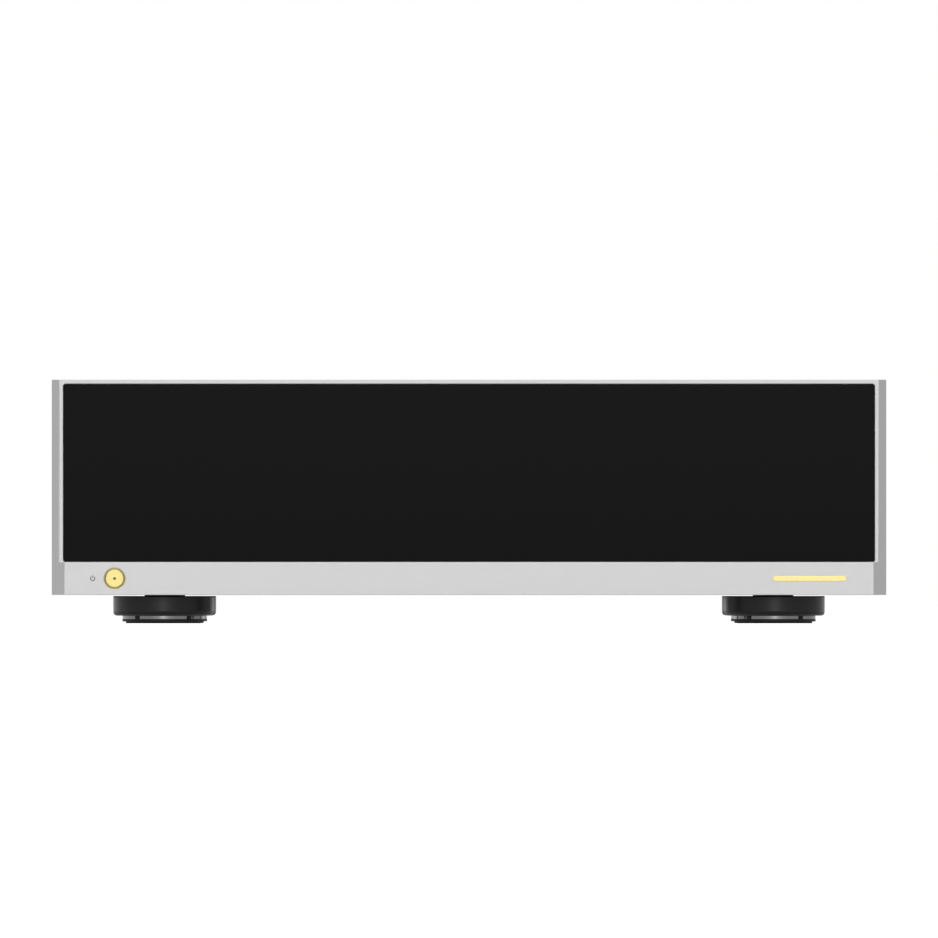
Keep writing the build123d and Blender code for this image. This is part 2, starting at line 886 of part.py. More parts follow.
def mains_rocker():
    """Rocker with a valley across its face, its ends rounded about the pivot, tipped to one side."""
    over = rocker_radius + rocker_crest
    rise = over * tan(radians(rocker_tilt))
    right = [(-rocker_under, over), (rocker_crest + rise, over), (rocker_crest, 0)]
    faces = Polygon(*right, (rocker_crest + rise, -over), (-rocker_under, -over), align=None)
    profile = Pos(pivot_y, inlet_z) * Rot(0, 0, -rocker_tilt) * (faces & Circle(rocker_radius))
    half = rocker_width / 2
    rocker = bar(profile, switch_x - half, switch_x + half)
    reach = half + pivot_reach
    return rocker + bar(Pos(pivot_y, inlet_z) * few_sided(pivot_radius), switch_x - reach, switch_x + reach)


def socket(x, width, height, depth, port, port_depth):
    """A board-mounted socket body, with its port sunk from the outer face."""
    body = prism(window(x, board_top + height / 2, width, height), jack_face - depth, jack_face)
    return body - prism(port, jack_face - port_depth, jack_face)


def network_jack():
    """Network socket, its mouth stepped for the latch of the plug."""
    half = network_port_width / 2
    low = board_top + (network_height - network_port_height - network_latch_height) / 2
    step = low + network_latch_height
    port = pane(network_x - half, network_x + half, step, step + network_port_height)
    port += window(network_x, low + network_latch_height / 2, network_latch_width, network_latch_height)
    return socket(network_x, network_width, network_height, network_depth, port, network_port_depth)


def usb_ports():
    """Two USB sockets one over the other in a shared shell, each with its contact tongue."""
    middle = board_top + usb_height / 2
    ports = Sketch()
    for z in (middle - usb_pitch / 2, middle + usb_pitch / 2):
        ports += window(usb_x, z, usb_port_width, usb_port_height)
        ports -= window(usb_x, z + usb_tongue_height / 2, usb_tongue_width, usb_tongue_height)
    return socket(usb_x, usb_width, usb_height, usb_depth, ports, usb_port_depth)


def i2s_port():
    """Digital audio link socket with a shouldered mouth round a thin tongue."""
    half = i2s_port_width / 2
    low = board_top + (i2s_height - i2s_port_height) / 2
    high = low + i2s_port_height
    middle = (low + high) / 2
    right = [(half - i2s_shoulder, low), (half, low + i2s_shoulder), (half, high)]
    left = [(-x, z) for x, z in reversed(right)]
    port = Pos(i2s_x, 0) * Polygon(*right, *left, align=None)
    port -= window(i2s_x, middle, i2s_tongue_width, i2s_tongue_height)
    return socket(i2s_x, i2s_width, i2s_height, i2s_depth, port, i2s_port_depth)


def hinge_place():
    """Depth and height of the shutter's hinge line."""
    top = board_top + (optical_height + optical_port_height) / 2
    return jack_face - hinge_inset, top - hinge_radius - shutter_gap


def optical_port():
    """Optical socket with a square mouth and the hinge holes of its shutter."""
    middle = board_top + optical_height / 2
    port = window(optical_x, middle, optical_port_width, optical_port_height)
    body = socket(optical_x, optical_width, optical_height, optical_depth, port, optical_port_depth)
    y, z = hinge_place()
    reach = optical_port_width / 2 + hinge_reach
    return body - bar(Pos(y, z) * few_sided(hinge_radius + hinge_fit), optical_x - reach, optical_x + reach)


def optical_shutter():
    """Flap that hangs from its hinge rod and swings inwards under the roof of the socket."""
    y, z = hinge_place()
    low = board_top + (optical_height - optical_port_height) / 2 + shutter_gap
    half = optical_port_width / 2 - shutter_gap
    leaf = pane(y - shutter_thickness / 2, y + shutter_thickness / 2, low, z)
    flap = bar(leaf, optical_x - half, optical_x + half)
    reach = half + hinge_reach
    return flap + bar(Pos(y, z) * Circle(hinge_radius), optical_x - reach, optical_x + reach)


def coax_jack():
    """Coaxial socket: a turned barrel on a hexagonal flange, its tail through the panel."""
    seat = back_y + coax_flange_thickness
    tip = seat + coax_barrel
    bore = coax_radius - coax_wall
    barrel = turned_level(coax_x, coax_z, (0, seat), (coax_radius, seat), (coax_radius, tip), (0, tip))
    floor = tip - coax_bore_depth
    jack = barrel + prism(Pos(coax_x, coax_z) * hexagon(coax_flange_width), back_y, seat)
    jack += prism(Pos(coax_x, coax_z) * few_sided(bore), inner_back, back_y)
    return jack - turned_level(coax_x, coax_z, (0, floor), (bore, floor), (bore, tip), (0, tip))


def coax_insulator():
    """White insert of the coaxial socket, with the hole for the plug's pin."""
    tip = back_y + coax_flange_thickness + coax_barrel
    floor = tip - coax_bore_depth
    face = tip - coax_recess
    outer = coax_radius - coax_wall - coax_fit
    insert = turned_level(coax_x, coax_z, (0, floor), (outer, floor), (outer, face), (0, face))
    return insert - prism(Pos(coax_x, coax_z) * few_sided(coax_pin_radius), face - coax_pin_depth, face)


def aes_connector():
    """Balanced digital connector: flange with cut corners, body and the round well of its pins."""
    face = back_y + aes_flange_thickness
    flange = window(aes_x, aes_z, aes_flange_width, aes_flange_height)
    shell = prism(chamfer(flange.vertices(), aes_flange_corner), back_y, face)
    shell += prism(window(aes_x, aes_z, aes_body_width, aes_body_height), back_y - aes_body_depth, back_y)
    return shell - prism(Pos(aes_x, aes_z) * Circle(aes_port_radius), face - aes_port_depth, face)


def aes_pins():
    """Three pins at equal angles, one of them straight down."""
    face = back_y + aes_flange_thickness
    floor = face - aes_port_depth
    circle = PolarLocations(aes_pin_circle, 3, start_angle=-90)
    pins = [Pos(aes_x, aes_z) * place * few_sided(aes_pin_radius) for place in circle]
    return group([prism(pin, floor, face - aes_pin_short) for pin in pins])


def foot_puck(x, y):
    """Wide round foot with a short neck against the case and a stud up into the base plate."""
    bottom = pad_thickness + sole_thickness + foot_plate_height
    top = bottom + puck_height
    puck = slab(Pos(x, y) * Circle(puck_radius), bottom, top)
    puck += slab(Pos(x, y) * few_sided(neck_radius, neck_sides), top, case_bottom)
    return puck + slab(Pos(x, y) * few_sided(stud_radius), case_bottom, floor_z - stud_short)


def post_outlines(gap, end):
    """Outlines of a foot's four posts, or with a gap and a far end those of the notches round them."""
    half = post_width / 2 + gap
    start = post_end - post_length - gap
    rows = ((start, end), (-end, -start))
    return [pane(x - half, x + half, *row) for x in (-post_across, post_across) for row in rows]


def foot_plates():
    """Bright plates under the pucks, notched from front and back where the damping posts stand."""
    low = pad_thickness + sole_thickness
    plate = Circle(foot_plate_radius)
    for notch in post_outlines(post_gap, foot_plate_radius):
        plate -= notch
    return group([slab(Pos(x, y) * plate, low, low + foot_plate_height) for x, y in foot_places()])


def foot_posts():
    """Damping posts that carry each puck on its sole, four to a foot."""
    low = pad_thickness + sole_thickness
    posts = post_outlines(0, post_end)
    high = low + foot_plate_height
    return group([slab(Pos(x, y) * post, low, high) for x, y in foot_places() for post in posts])


def foot_soles():
    """Dark discs that close the feet from below."""
    disc = Circle(sole_radius)
    top = pad_thickness + sole_thickness
    return group([slab(Pos(x, y) * disc, pad_thickness, top) for x, y in foot_places()])


def foot_pads():
    """Rubber pads that the part stands on."""
    return group([slab(Pos(x, y) * Circle(pad_radius), 0, pad_thickness) for x, y in foot_places()])


def build():
    """Every sub-part by name."""
    parts = {
        "front_panel": front_panel(),
        "front_glass": front_glass(),
        "left_side_panel": side_panel(-1),
        "right_side_panel": side_panel(1),
        "top_cover": top_cover(),
        "base_plate": base_plate(),
        "rear_panel": rear_panel(),
        "cover_screws": cover_screws(),
        "base_screws": base_screws(),
        "rear_screws": rear_screws(),
        "display_panel": display_panel(),
        "display_bracket": display_bracket(),
        "bracket_screws": bracket_screws(),
        "display_ribbon": display_ribbon(),
        "power_button": power_button(),
        "button_ring": button_ring(),
        "button_lamp": button_lamp(),
        "button_board": button_board(),
        "button_switch": button_switch(),
        "switch_plunger": switch_plunger(),
        "main_board": main_board(),
        "power_board": power_board(),
        "board_supports": board_supports(),
        "processor": processor(),
        "processor_heatsink": processor_heatsink(),
        "clock_oscillators": clock_oscillators(),
        "power_capacitors": power_capacitors(),
        "regulator_heatsink": regulator_heatsink(),
        "transformer": transformer(),
        "transformer_mat": transformer_mat(),
        "transformer_washer": transformer_washer(),
        "transformer_bolt": transformer_bolt(),
        "divider": divider(),
        "mains_inlet": mains_inlet(),
        "inlet_blades": inlet_blades(),
        "mains_leads": mains_leads(),
        "fuse_drawer": fuse_drawer(),
        "fuse": fuse(),
        "switch_housing": switch_housing(),
        "mains_rocker": mains_rocker(),
        "network_jack": network_jack(),
        "usb_ports": usb_ports(),
        "i2s_port": i2s_port(),
        "optical_port": optical_port(),
        "optical_shutter": optical_shutter(),
        "coax_jack": coax_jack(),
        "coax_insulator": coax_insulator(),
        "aes_connector": aes_connector(),
        "aes_pins": aes_pins(),
        "foot_plates": foot_plates(),
        "foot_posts": foot_posts(),
        "foot_soles": foot_soles(),
        "foot_pads": foot_pads(),
    }
    names = ("front_left_foot", "front_right_foot", "rear_left_foot", "rear_right_foot")
    for name, (x, y) in zip(names, foot_places()):
        parts[name] = foot_puck(x, y)
    return parts


os.makedirs("parts", exist_ok=True)
for name, shape in build().items():
    export_step(shape, os.path.join("parts", name + ".step"))
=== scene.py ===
import json
from functools import cache
from math import atan2, cos, pi, radians, sin, sqrt, tau

import bmesh
import bpy
from mathutils import Matrix, Vector


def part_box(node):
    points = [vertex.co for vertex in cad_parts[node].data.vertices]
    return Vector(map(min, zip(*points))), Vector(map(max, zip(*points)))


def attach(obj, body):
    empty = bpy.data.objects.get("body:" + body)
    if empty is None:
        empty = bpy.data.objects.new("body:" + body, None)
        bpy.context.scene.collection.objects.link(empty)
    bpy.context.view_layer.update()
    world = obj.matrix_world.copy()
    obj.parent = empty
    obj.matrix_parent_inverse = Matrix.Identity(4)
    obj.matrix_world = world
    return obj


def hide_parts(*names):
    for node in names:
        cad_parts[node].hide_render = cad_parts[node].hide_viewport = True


# Looks of a full-size digital audio transport: satin silver case, black glass, gold button and
# damped feet. Lengths are metres. X runs to the right, the front faces -Y, and the feet stand
# on Z = 0.

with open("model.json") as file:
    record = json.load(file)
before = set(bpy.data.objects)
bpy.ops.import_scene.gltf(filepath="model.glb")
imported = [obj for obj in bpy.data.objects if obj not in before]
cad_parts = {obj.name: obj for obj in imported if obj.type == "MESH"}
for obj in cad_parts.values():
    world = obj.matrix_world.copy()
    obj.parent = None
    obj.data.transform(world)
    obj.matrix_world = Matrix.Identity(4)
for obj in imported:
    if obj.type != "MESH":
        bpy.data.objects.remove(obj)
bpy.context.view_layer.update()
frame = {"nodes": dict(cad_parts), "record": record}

MM = 0.001
SMALL = 1e-7
WELD = 0.001 * MM
FLAT = radians(0.5)
SHARP = radians(34)

# Steps of round shapes
ROUND_STEPS = 128
FINE_STEPS = 48
PIN_STEPS = 32
CORNER_STEPS = 5

# How far out from a round corner its straights are held flat, as a share of the round's reach
CORNER_HOLD = 1.15

# Share of a strip's width that each of its corners takes: a soft corner, or a whole round end
SOFT_CORNER = 0.3
ROUND_END = 0.499

# Case
CASE_EDGE = 0.3 * MM
PANEL_EDGE = 0.2 * MM
REAR_EDGE = 0.15 * MM
BASE_EDGE = 0.15 * MM
GLASS_CORNER = 1.2 * MM
GLASS_EDGE = 0.25 * MM

# Power button
BUTTON_RADIUS = 4.7 * MM
BUTTON_CHAMFER = 0.3 * MM
BUTTON_ROUND = 0.1 * MM
BUTTON_GAP = 0.08 * MM
FLANGE_GAP = 0.1 * MM
RING_LIP = 0.12 * MM
RING_DISH = 0.3 * MM
RING_ROUND = 0.04 * MM
LAMP_RADIUS = 0.65 * MM
LAMP_ROUND = 0.15 * MM
LAMP_GAP = 0.05 * MM
WELL_ROUND = 0.06 * MM

# Marks on the chin
INK = 0.03 * MM
MARK_FROM_BUTTON = 11.3 * MM
MARK_RADIUS = 1.08 * MM
MARK_WIDTH = 0.42 * MM
MARK_OPEN = radians(25)
MARK_STEM = 1.35 * MM
MARK_STEM_WIDTH = 0.3 * MM
MARK_STEM_START = 0.4 * MM
BAR_PLACE = 175.5 * MM
BAR_LENGTH = 38.0 * MM
BAR_HEIGHT = 2.6 * MM
BAR_RISE = 0.4 * MM
BAR_EDGE = 0.15 * MM

# Screws
SCREW_HEAD = 3.0 * MM
SCREW_SHANK = 1.5 * MM
SCREW_LENGTH = 8.0 * MM
SCREW_ROUND = 0.08 * MM
SCREW_SINK = 0.1 * MM
SCREW_HOLE = 0.1 * MM
HEX_SOCKET = 2.0 * MM
HEX_DEPTH = 1.4 * MM
DOME_RADIUS = 2.75 * MM
DOME_HEIGHT = 1.7 * MM
DOME_CROWN = 0.62
DOME_CROWN_ROUND = 0.5 * MM
DOME_RIM = 0.5 * MM
DOME_RIM_ROUND = 0.4 * MM

# Feet
NECK_RADIUS = 9.7 * MM
NECK_HEIGHT = 0.5 * MM
PUCK_ROUND = 2.3 * MM
PUCK_CRISP = 0.5 * MM
STUD_RADIUS = 3.0 * MM
POST_ACROSS = 13.3 * MM
POST_WIDTH = 2.2 * MM
POST_LENGTH = 4.0 * MM
POST_GAP = 0.1 * MM
POST_EDGE = 0.25 * MM
PLATE_ROUND = 0.15 * MM
SOLE_ROUND = 0.4 * MM
SOLE_TOP_ROUND = 0.1 * MM
PAD_ROUND = 0.25 * MM

# Underside
VENT_WIDTH = 3.5 * MM
VENT_LENGTH = 40.0 * MM
VENT_PITCH = 12.0 * MM
VENT_COUNT = 5
VENT_ROWS = (-128.0 * MM, 78.5 * MM)
VENT_MIDDLE = 61.35 * MM

# Pieces in the rear panel: their finish, the width of their broken edges and their body
REAR_PIECES = {
    "mains_inlet": ("socket_black", 0.35 * MM, "chassis"),
    "inlet_blades": ("nickel", 0.25 * MM, "chassis"),
    "fuse_drawer": ("socket_black", 0.2 * MM, "fuse_tray"),
    "switch_housing": ("socket_black", 0.35 * MM, "chassis"),
    "mains_rocker": ("rocker_black", 0.3 * MM, "rocker"),
    "network_jack": ("nickel", 0.15 * MM, "chassis"),
    "usb_ports": ("nickel", 0.15 * MM, "chassis"),
    "i2s_port": ("nickel", 0.12 * MM, "chassis"),
    "optical_port": ("socket_black", 0.15 * MM, "chassis"),
    "optical_shutter": ("socket_black", 0.08 * MM, "shutter"),
    "aes_connector": ("nickel", 0.25 * MM, "chassis"),
}

# Linings, tongues and contacts of the sockets. The linings are black cups inside the metal shells,
# partly mouldings and partly painted shade of the cavities
CONTACT_SKIN = 0.05 * MM
LINER_WALL = 0.3 * MM
LINER_FIT = 0.02 * MM
TONGUE_EDGE = 0.1 * MM
NETWORK_CONTACTS = 8
NETWORK_PITCH = 1.02 * MM
NETWORK_FLOOR = 2.4 * MM
NETWORK_STEP = 4.2 * MM
NETWORK_ROOF = 11.2 * MM
NETWORK_HALF = 5.95 * MM
NETWORK_LATCH_HALF = 3.1 * MM
NETWORK_DEPTH = 14.0 * MM
NETWORK_MOUTH = 0.5 * MM
WIRE_WIDTH = 0.45 * MM
WIRE_START = 2.5 * MM
WIRE_REACH = 7.0 * MM
WIRE_DROP = 2.1 * MM
USB_PITCH = 7.6 * MM
USB_PORT = (12.6 * MM, 5.2 * MM)
USB_DEPTH = 10.0 * MM
USB_MOUTH = 1.0 * MM
USB_TONGUE = (11.2 * MM, 1.9 * MM)
USB_TONGUE_CORNER = 0.2 * MM
USB_CONTACTS = 4
USB_CONTACT_PITCH = 2.4 * MM
USB_CONTACT = (1.1 * MM, 7.0 * MM)
USB_CONTACT_START = 0.8 * MM
I2S_PORT = (14.2 * MM, 4.8 * MM)
I2S_SHOULDER = 1.6 * MM
I2S_DEPTH = 8.0 * MM
I2S_MOUTH = 0.4 * MM
I2S_TONGUE = (10.6 * MM, 1.0 * MM)
I2S_TONGUE_CORNER = 0.15 * MM
I2S_CONTACTS = 9
I2S_CONTACT_PITCH = 1.0 * MM
I2S_CONTACT = (0.5 * MM, 5.0 * MM)
I2S_CONTACT_START = 0.5 * MM
AES_PORT_RADIUS = 8.3 * MM
AES_PORT_DEPTH = 14.5 * MM
AES_INSERT = 2.0 * MM
AES_INSERT_ROUND = 0.3 * MM
AES_PIN_RADIUS = 1.2 * MM
AES_PIN_ROUND = 0.8 * MM
AES_PIN_CIRCLE = 4.0 * MM
AES_SCREW_ACROSS = 9.5 * MM
AES_SCREW_UP = 12.0 * MM
COAX_RADIUS = 4.15 * MM
COAX_ROUND = 0.25 * MM
COAX_BORE = 3.55 * MM
COAX_BORE_ROUND = 0.12 * MM
COAX_HEX = 12.0 * MM
COAX_HEX_THICK = 1.5 * MM
COAX_HEX_EDGE = 0.2 * MM
COAX_FIT = 0.03 * MM
COAX_FACE_ROUND = 0.1 * MM
COAX_HOLE = 1.7 * MM
COAX_HOLE_ROUND = 0.15 * MM
COAX_HOLE_FLOOR = 1.0 * MM
COAX_CONTACT = 0.45 * MM
COAX_CONTACT_ROUND = 0.1 * MM
COAX_CONTACT_SUNK = 0.8 * MM

# Rocker of the mains switch and its two marks
ROCKER_PIVOT = 1.6 * MM
ROCKER_CREST = 2.0 * MM
ROCKER_TILT = radians(10)
ROCKER_MARK = 4.7 * MM
ON_WIDTH = 0.45 * MM
ON_LENGTH = 2.8 * MM
ON_CORNER = 0.1 * MM
OFF_INNER = 0.95 * MM
OFF_OUTER = 1.4 * MM

# Materials: width of a patch in grains, detail of the patches and of the grain, and the shares of
# the patches and of the tool lines in what they are mixed into
WANDER_GRAINS = 9
WANDER_DETAIL = 3.0
GRAIN_DETAIL = 2.0
WANDER_SHARE = 0.6
LINE_SHARE = 0.8

# Room
WALLS = 0.38
ROOF = 0.7
BACK_WALL = 0.5
SIDE_LEAN = 0.3
GLOW = 0.92
GLOW_WIDTH = 0.6
STRIP = 1.1
STRIP_WIDTH = 0.24
ROOM_LIGHT = 0.6
FLOOR_SIZE = 60
FLOOR_CORNER = 1
FLOOR_THICK = 0.01
FLOOR_GREY = 0.4
FLOOR_SEEN = 0.8
FLOOR_MIRRORED = 0.35
OVERHEAD_PLACE = (-0.8, -0.6, 2.4)
OVERHEAD_AIM = (0, 0, 0.05)
OVERHEAD_SIZE = (2.0, 1.6)
OVERHEAD_WATTS = 22

# Camera. The body is 0.43 m wide and fills 834.8 of the picture's 938 pixels.
IMAGE_WIDTH = 938
IMAGE_SCALE = 0.43 / 834.8
LENS = 1700
SENSOR = 36
NEAR, FAR = 0.1, 200
VIEW_HEIGHT = 79.5 * MM
EYE_HEIGHT = 14.35 * MM

# Grain, relief and tool lines are in millimetres.
METAL = 1.0
FINISHES = {
    # Bead-blasted and anodised aluminium
    "case_aluminium": dict(colour=(0.655, 0.655, 0.655), rough=0.42, metal=METAL,
                           grain=0.22, relief=0.004),
    # Dark coated glass that reflects little from straight on
    "black_glass": dict(colour=(0.004, 0.004, 0.0041), rough=0.08, specular=0.057,
                        grain=6, relief=0.0003, spread=0.005),
    # Turned and gold plated, for the button's cap and the ring round it
    "gold": dict(colour=(0.82, 0.69, 0.27), rough=0.30, metal=METAL, relief=0.002, lines=0.12),
    # The ring round the cap: its gold is set darker and greyer as painted shade, for the darker
    # reflection the ring shows
    "dark_gold": dict(colour=(0.62, 0.57, 0.37), rough=0.35, metal=METAL,
                      relief=0.002, lines=0.1),
    # Smoked light guide, unlit
    "lamp_clear": dict(colour=(0.26, 0.25, 0.08), rough=0.25, grain=0.1),
    # Turned aluminium of the feet, anodised black
    "black_anodised": dict(colour=(0.004, 0.004, 0.0041), rough=0.25, relief=0.003, lines=0.2),
    # Bright steel plate of a foot, its colour set darker as painted shade for the gap under the
    # puck
    "turned_steel": dict(colour=(0.29, 0.29, 0.288), rough=0.09, metal=METAL,
                         relief=0.002, lines=0.15, spread=0.02),
    # Posts and sole of a foot, and the rubber of its pad
    "damper_black": dict(colour=(0.012, 0.012, 0.012), rough=0.5, grain=0.2),
    "rubber_black": dict(colour=(0.018, 0.018, 0.018), rough=0.75,
                         grain=0.25, relief=0.02, tone=0.1),
    # Black oxide on steel
    "black_screws": dict(colour=(0.05, 0.05, 0.052), rough=0.38, metal=0.9, grain=0.15, tone=0.12),
    # Fine textured black paint
    "base_black": dict(colour=(0.022, 0.022, 0.023), rough=0.55, grain=0.5, relief=0.03, tone=0.1),
    # Moulded black plastic, matt for housings and glossy for the rocker
    "socket_black": dict(colour=(0.018, 0.018, 0.018), rough=0.42, relief=0.012, tone=0.08),
    "rocker_black": dict(colour=(0.012, 0.012, 0.012), rough=0.22, grain=0.6, relief=0.004),
    # Nickel plate over stamped steel, and gold plate over brass
    "nickel": dict(colour=(0.60, 0.585, 0.55), rough=0.28, metal=METAL,
                   grain=0.4, relief=0.004, tone=0.04),
    "gold_plate": dict(colour=(0.90, 0.68, 0.28), rough=0.22, metal=METAL,
                       grain=0.15, relief=0.001),
    "insulator_white": dict(colour=(0.78, 0.78, 0.75), rough=0.4, grain=0.4, relief=0.008),
    # Solder mask over the weave of a board, and what stands on the boards
    "board_green": dict(colour=(0.015, 0.10, 0.045), rough=0.35, grain=0.6, tone=0.15),
    "chip_black": dict(colour=(0.025, 0.025, 0.027), rough=0.5, grain=0.15),
    "heatsink_black": dict(colour=(0.02, 0.02, 0.021), rough=0.4, metal=0.5, grain=0.25, tone=0.08),
    "can_steel": dict(colour=(0.55, 0.55, 0.54), rough=0.25, metal=METAL, grain=0.5, relief=0.004),
    "capacitor_sleeve": dict(colour=(0.015, 0.015, 0.02), rough=0.3, grain=0.8),
    "transformer_can": dict(colour=(0.03, 0.03, 0.03), rough=0.4, grain=0.7, relief=0.02),
    # Plated sheet with its soft spangle
    "divider_steel": dict(colour=(0.45, 0.45, 0.46), rough=0.38, metal=METAL, grain=1.5, tone=0.08),
    "display_black": dict(colour=(0.006, 0.006, 0.008), rough=0.12, grain=2, relief=0.001),
    "ribbon_pale": dict(colour=(0.66, 0.66, 0.63), rough=0.45, grain=0.6),
    "lead_brown": dict(colour=(0.10, 0.045, 0.025), rough=0.45, grain=0.4),
    # Clear tube of the fuse
    "fuse_glass": dict(colour=(0.80, 0.85, 0.84), rough=0.05, alpha=0.35, grain=3, relief=0.0005),
    # Ink of the standby mark and of the marks on the rocker
    "mark_grey": dict(colour=(0.14, 0.14, 0.14), rough=0.6, grain=0.1, relief=0.002),
    "mark_white": dict(colour=(0.72, 0.72, 0.70), rough=0.5, grain=0.1, relief=0.002),
}


def sums(operation):
    """A node of one operation as an operator: with a wire on its left, and on its right only."""
    return (
        lambda wire, other: wire.math(operation, wire, other),
        lambda wire, other: wire.math(operation, other, wire),
    )


class Wire:
    """A value that runs out of a node, ready for sums."""

    __add__, __radd__ = sums("ADD")
    __sub__, __rsub__ = sums("SUBTRACT")
    __mul__, __rmul__ = sums("MULTIPLY")
    __truediv__, __rtruediv__ = sums("DIVIDE")
    __mod__, __rmod__ = sums("MODULO")
    __pow__, __rpow__ = sums("POWER")

    def __init__(self, sheet, socket):
        self.sheet = sheet
        self.socket = socket

    def math(self, operation, *terms):
        return self.sheet.add("ShaderNodeMath", {"operation": operation}, dict(enumerate(terms)))

    def __abs__(self):
        return self.math("ABSOLUTE", self)

    def at_least(self, other):
        return self.math("MAXIMUM", self, other)


class Sheet:
    """A node tree that is filled in from here."""

    def __init__(self, tree):
        self.tree = tree
        tree.nodes.clear()

    def add(self, kind, settings=None, sockets=None, out=0):
        """Put in a node: its settings first, then the values or wires of its sockets."""
        node = self.tree.nodes.new(kind)
        for name, value in (settings or {}).items():
            setattr(node, name, value)
        for name, value in (sockets or {}).items():
            if isinstance(value, Wire):
                self.tree.links.new(value.socket, node.inputs[name])
            else:
                node.inputs[name].default_value = value
        return Wire(self, node.outputs[out]) if node.outputs else node

    def noise(self, size, detail, place, kind="3D"):
        """Soft noise with features of about one size."""
        sockets = {"Scale": 1 / size, "Detail": detail, "Vector" if kind == "3D" else "W": place}
        return self.add("ShaderNodeTexNoise", {"noise_dimensions": kind}, sockets)

    def blend(self, share, first, second):
        """Mix two colours."""
        sockets = {0: share, 6: first, 7: second}
        return self.add("ShaderNodeMix", {"data_type": "RGBA"}, sockets, out=2)

    def split(self, vector, out):
        """One of a vector's three numbers."""
        return self.add("ShaderNodeSeparateXYZ", None, {0: vector}, out)

    def rays(self):
        """Which rays arrive: the camera's own or through clear pieces, and mirrored ones."""
        seen, mirrored, through = [
            self.add("ShaderNodeLightPath", out=kind)
            for kind in ("Is Camera Ray", "Is Glossy Ray", "Is Transmission Ray")
        ]
        return seen.at_least(through), mirrored


def toned(colour, factor):
    """A colour made lighter or darker."""
    return tuple(min(1.0, channel * factor) for channel in colour) + (1.0,)


def surface(name, colour, rough, metal=0.0, grain=0.3, relief=0.01, tone=0.02, spread=0.04,
            specular=0.5, lines=0.0, alpha=1.0):
    """A finish whose colour and roughness wander a little, with grain or tool lines in relief."""
    material = bpy.data.materials.new(name)
    material.use_nodes = True
    sheet = Sheet(material.node_tree)
    place = sheet.add("ShaderNodeTexCoord", out="Object")
    wander = sheet.noise(WANDER_GRAINS * (grain * MM), WANDER_DETAIL, place)
    height = sheet.noise(grain * MM, GRAIN_DETAIL, place)
    if lines:
        along = sheet.split(sheet.add("ShaderNodeTexCoord", out="UV"), 1)
        tooled = sheet.noise(lines * MM, GRAIN_DETAIL, along, "1D")
        height = tooled * LINE_SHARE + height * (1 - LINE_SHARE)
    bump = {"Strength": 1.0, "Distance": relief * MM, "Height": height}
    normal = sheet.add("ShaderNodeBump", None, bump)
    patches = wander * WANDER_SHARE + height * (1 - WANDER_SHARE)
    shader = sheet.add("ShaderNodeBsdfPrincipled", None, {
        "Base Color": sheet.blend(patches, toned(colour, 1 - tone), toned(colour, 1 + tone)),
        "Metallic": metal,
        "Roughness": rough - spread / 2 + spread * wander,
        "Specular IOR Level": specular,
        "Alpha": alpha,
        "Normal": normal,
    })
    sheet.add("ShaderNodeOutputMaterial", None, {"Surface": shader})
    return material


@cache
def finish(name):
    """A finish, made once."""
    return surface(name, **FINISHES[name])


def softened(points, closed=False):
    """Round the corners of a profile. A point's third number is how far its round reaches.

    A spot just past each end of a round keeps the straight beside it flat in shading.
    """
    count = len(points)
    line = []
    for index, (*corner, reach) in enumerate([(*p, 0.0) if len(p) == 2 else p for p in points]):
        here = Vector(corner)
        if reach == 0 or (not closed and index in (0, count - 1)):
            line.append(here)
            continue
        before = Vector(points[index - 1][:2]) - here
        after = Vector(points[(index + 1) % count][:2]) - here
        start, end = before.normalized() * reach, after.normalized() * reach
        line.append(here + start * CORNER_HOLD)
        for step in range(CORNER_STEPS + 1):
            t = step / CORNER_STEPS
            line.append(here + (1 - t) ** 2 * start + t * t * end)
        line.append(here + end * CORNER_HOLD)
    return line


def disc_profile(radius, low, high, low_round=0.0, high_round=0.0):
    """Profile of a plain disc or pin with rounded ends."""
    return [(0, low), (radius, low, low_round), (radius, high, high_round), (0, high)]


def axis_point(axis, across, up, along):
    """A point about an axis: two lengths square to it and one along it."""
    return {"X": (along, across, up), "Y": (across, along, up), "Z": (across, up, along)}[axis]


def turned(profile, centre=(0, 0, 0), axis="Z", steps=ROUND_STEPS, closed=False):
    """Turn a profile of radius and length about an axis, with a map along it for tool lines."""
    shape = bmesh.new()
    layer = shape.loops.layers.uv.new("tool_lines")
    line = softened(profile, closed)
    travelled = [0.0]
    for first, second in zip(line, line[1:] + line[:1]):
        travelled.append(travelled[-1] + (second - first).length)
    rings = []
    for radius, along in line:
        angles = [tau * step / steps for step in range(steps if radius > SMALL else 1)]
        spots = [axis_point(axis, radius * cos(a), radius * sin(a), along) for a in angles]
        rings.append([shape.verts.new(Vector(spot) + Vector(centre)) for spot in spots])
    for index in range(len(line) if closed else len(line) - 1):
        first, second = rings[index], rings[(index + 1) % len(rings)]
        for step in range(steps):
            corners = []
            for ring, turn, length in (
                (first, step, travelled[index]),
                (first, step + 1, travelled[index]),
                (second, step + 1, travelled[index + 1]),
                (second, step, travelled[index + 1]),
            ):
                vertex = ring[turn % len(ring)]
                if vertex not in [corner[0] for corner in corners]:
                    corners.append((vertex, turn / steps, length))
            if len(corners) > 2:
                face = shape.faces.new([corner[0] for corner in corners])
                for loop, (_, turn, length) in zip(face.loops, corners):
                    loop[layer].uv = (turn, length)
    bmesh.ops.recalc_face_normals(shape, faces=shape.faces)
    return shape


def rounded_outline(width, height, corner, steps=8):
    """Outline of a rectangle with round corners about its centre."""
    spots = []
    for quarter, (sx, sy) in enumerate(((1, 1), (-1, 1), (-1, -1), (1, -1))):
        for step in range(steps + 1):
            angle = pi / 2 * (quarter + step / steps)
            x = sx * (width / 2 - corner) + corner * cos(angle)
            y = sy * (height / 2 - corner) + corner * sin(angle)
            spots.append((x, y))
    return spots


def square_outline(width, height):
    """Outline of a rectangle about its centre, for a plate whose corners the bevel breaks."""
    return [(sx * width / 2, sy * height / 2) for sx, sy in ((1, 1), (-1, 1), (-1, -1), (1, -1))]


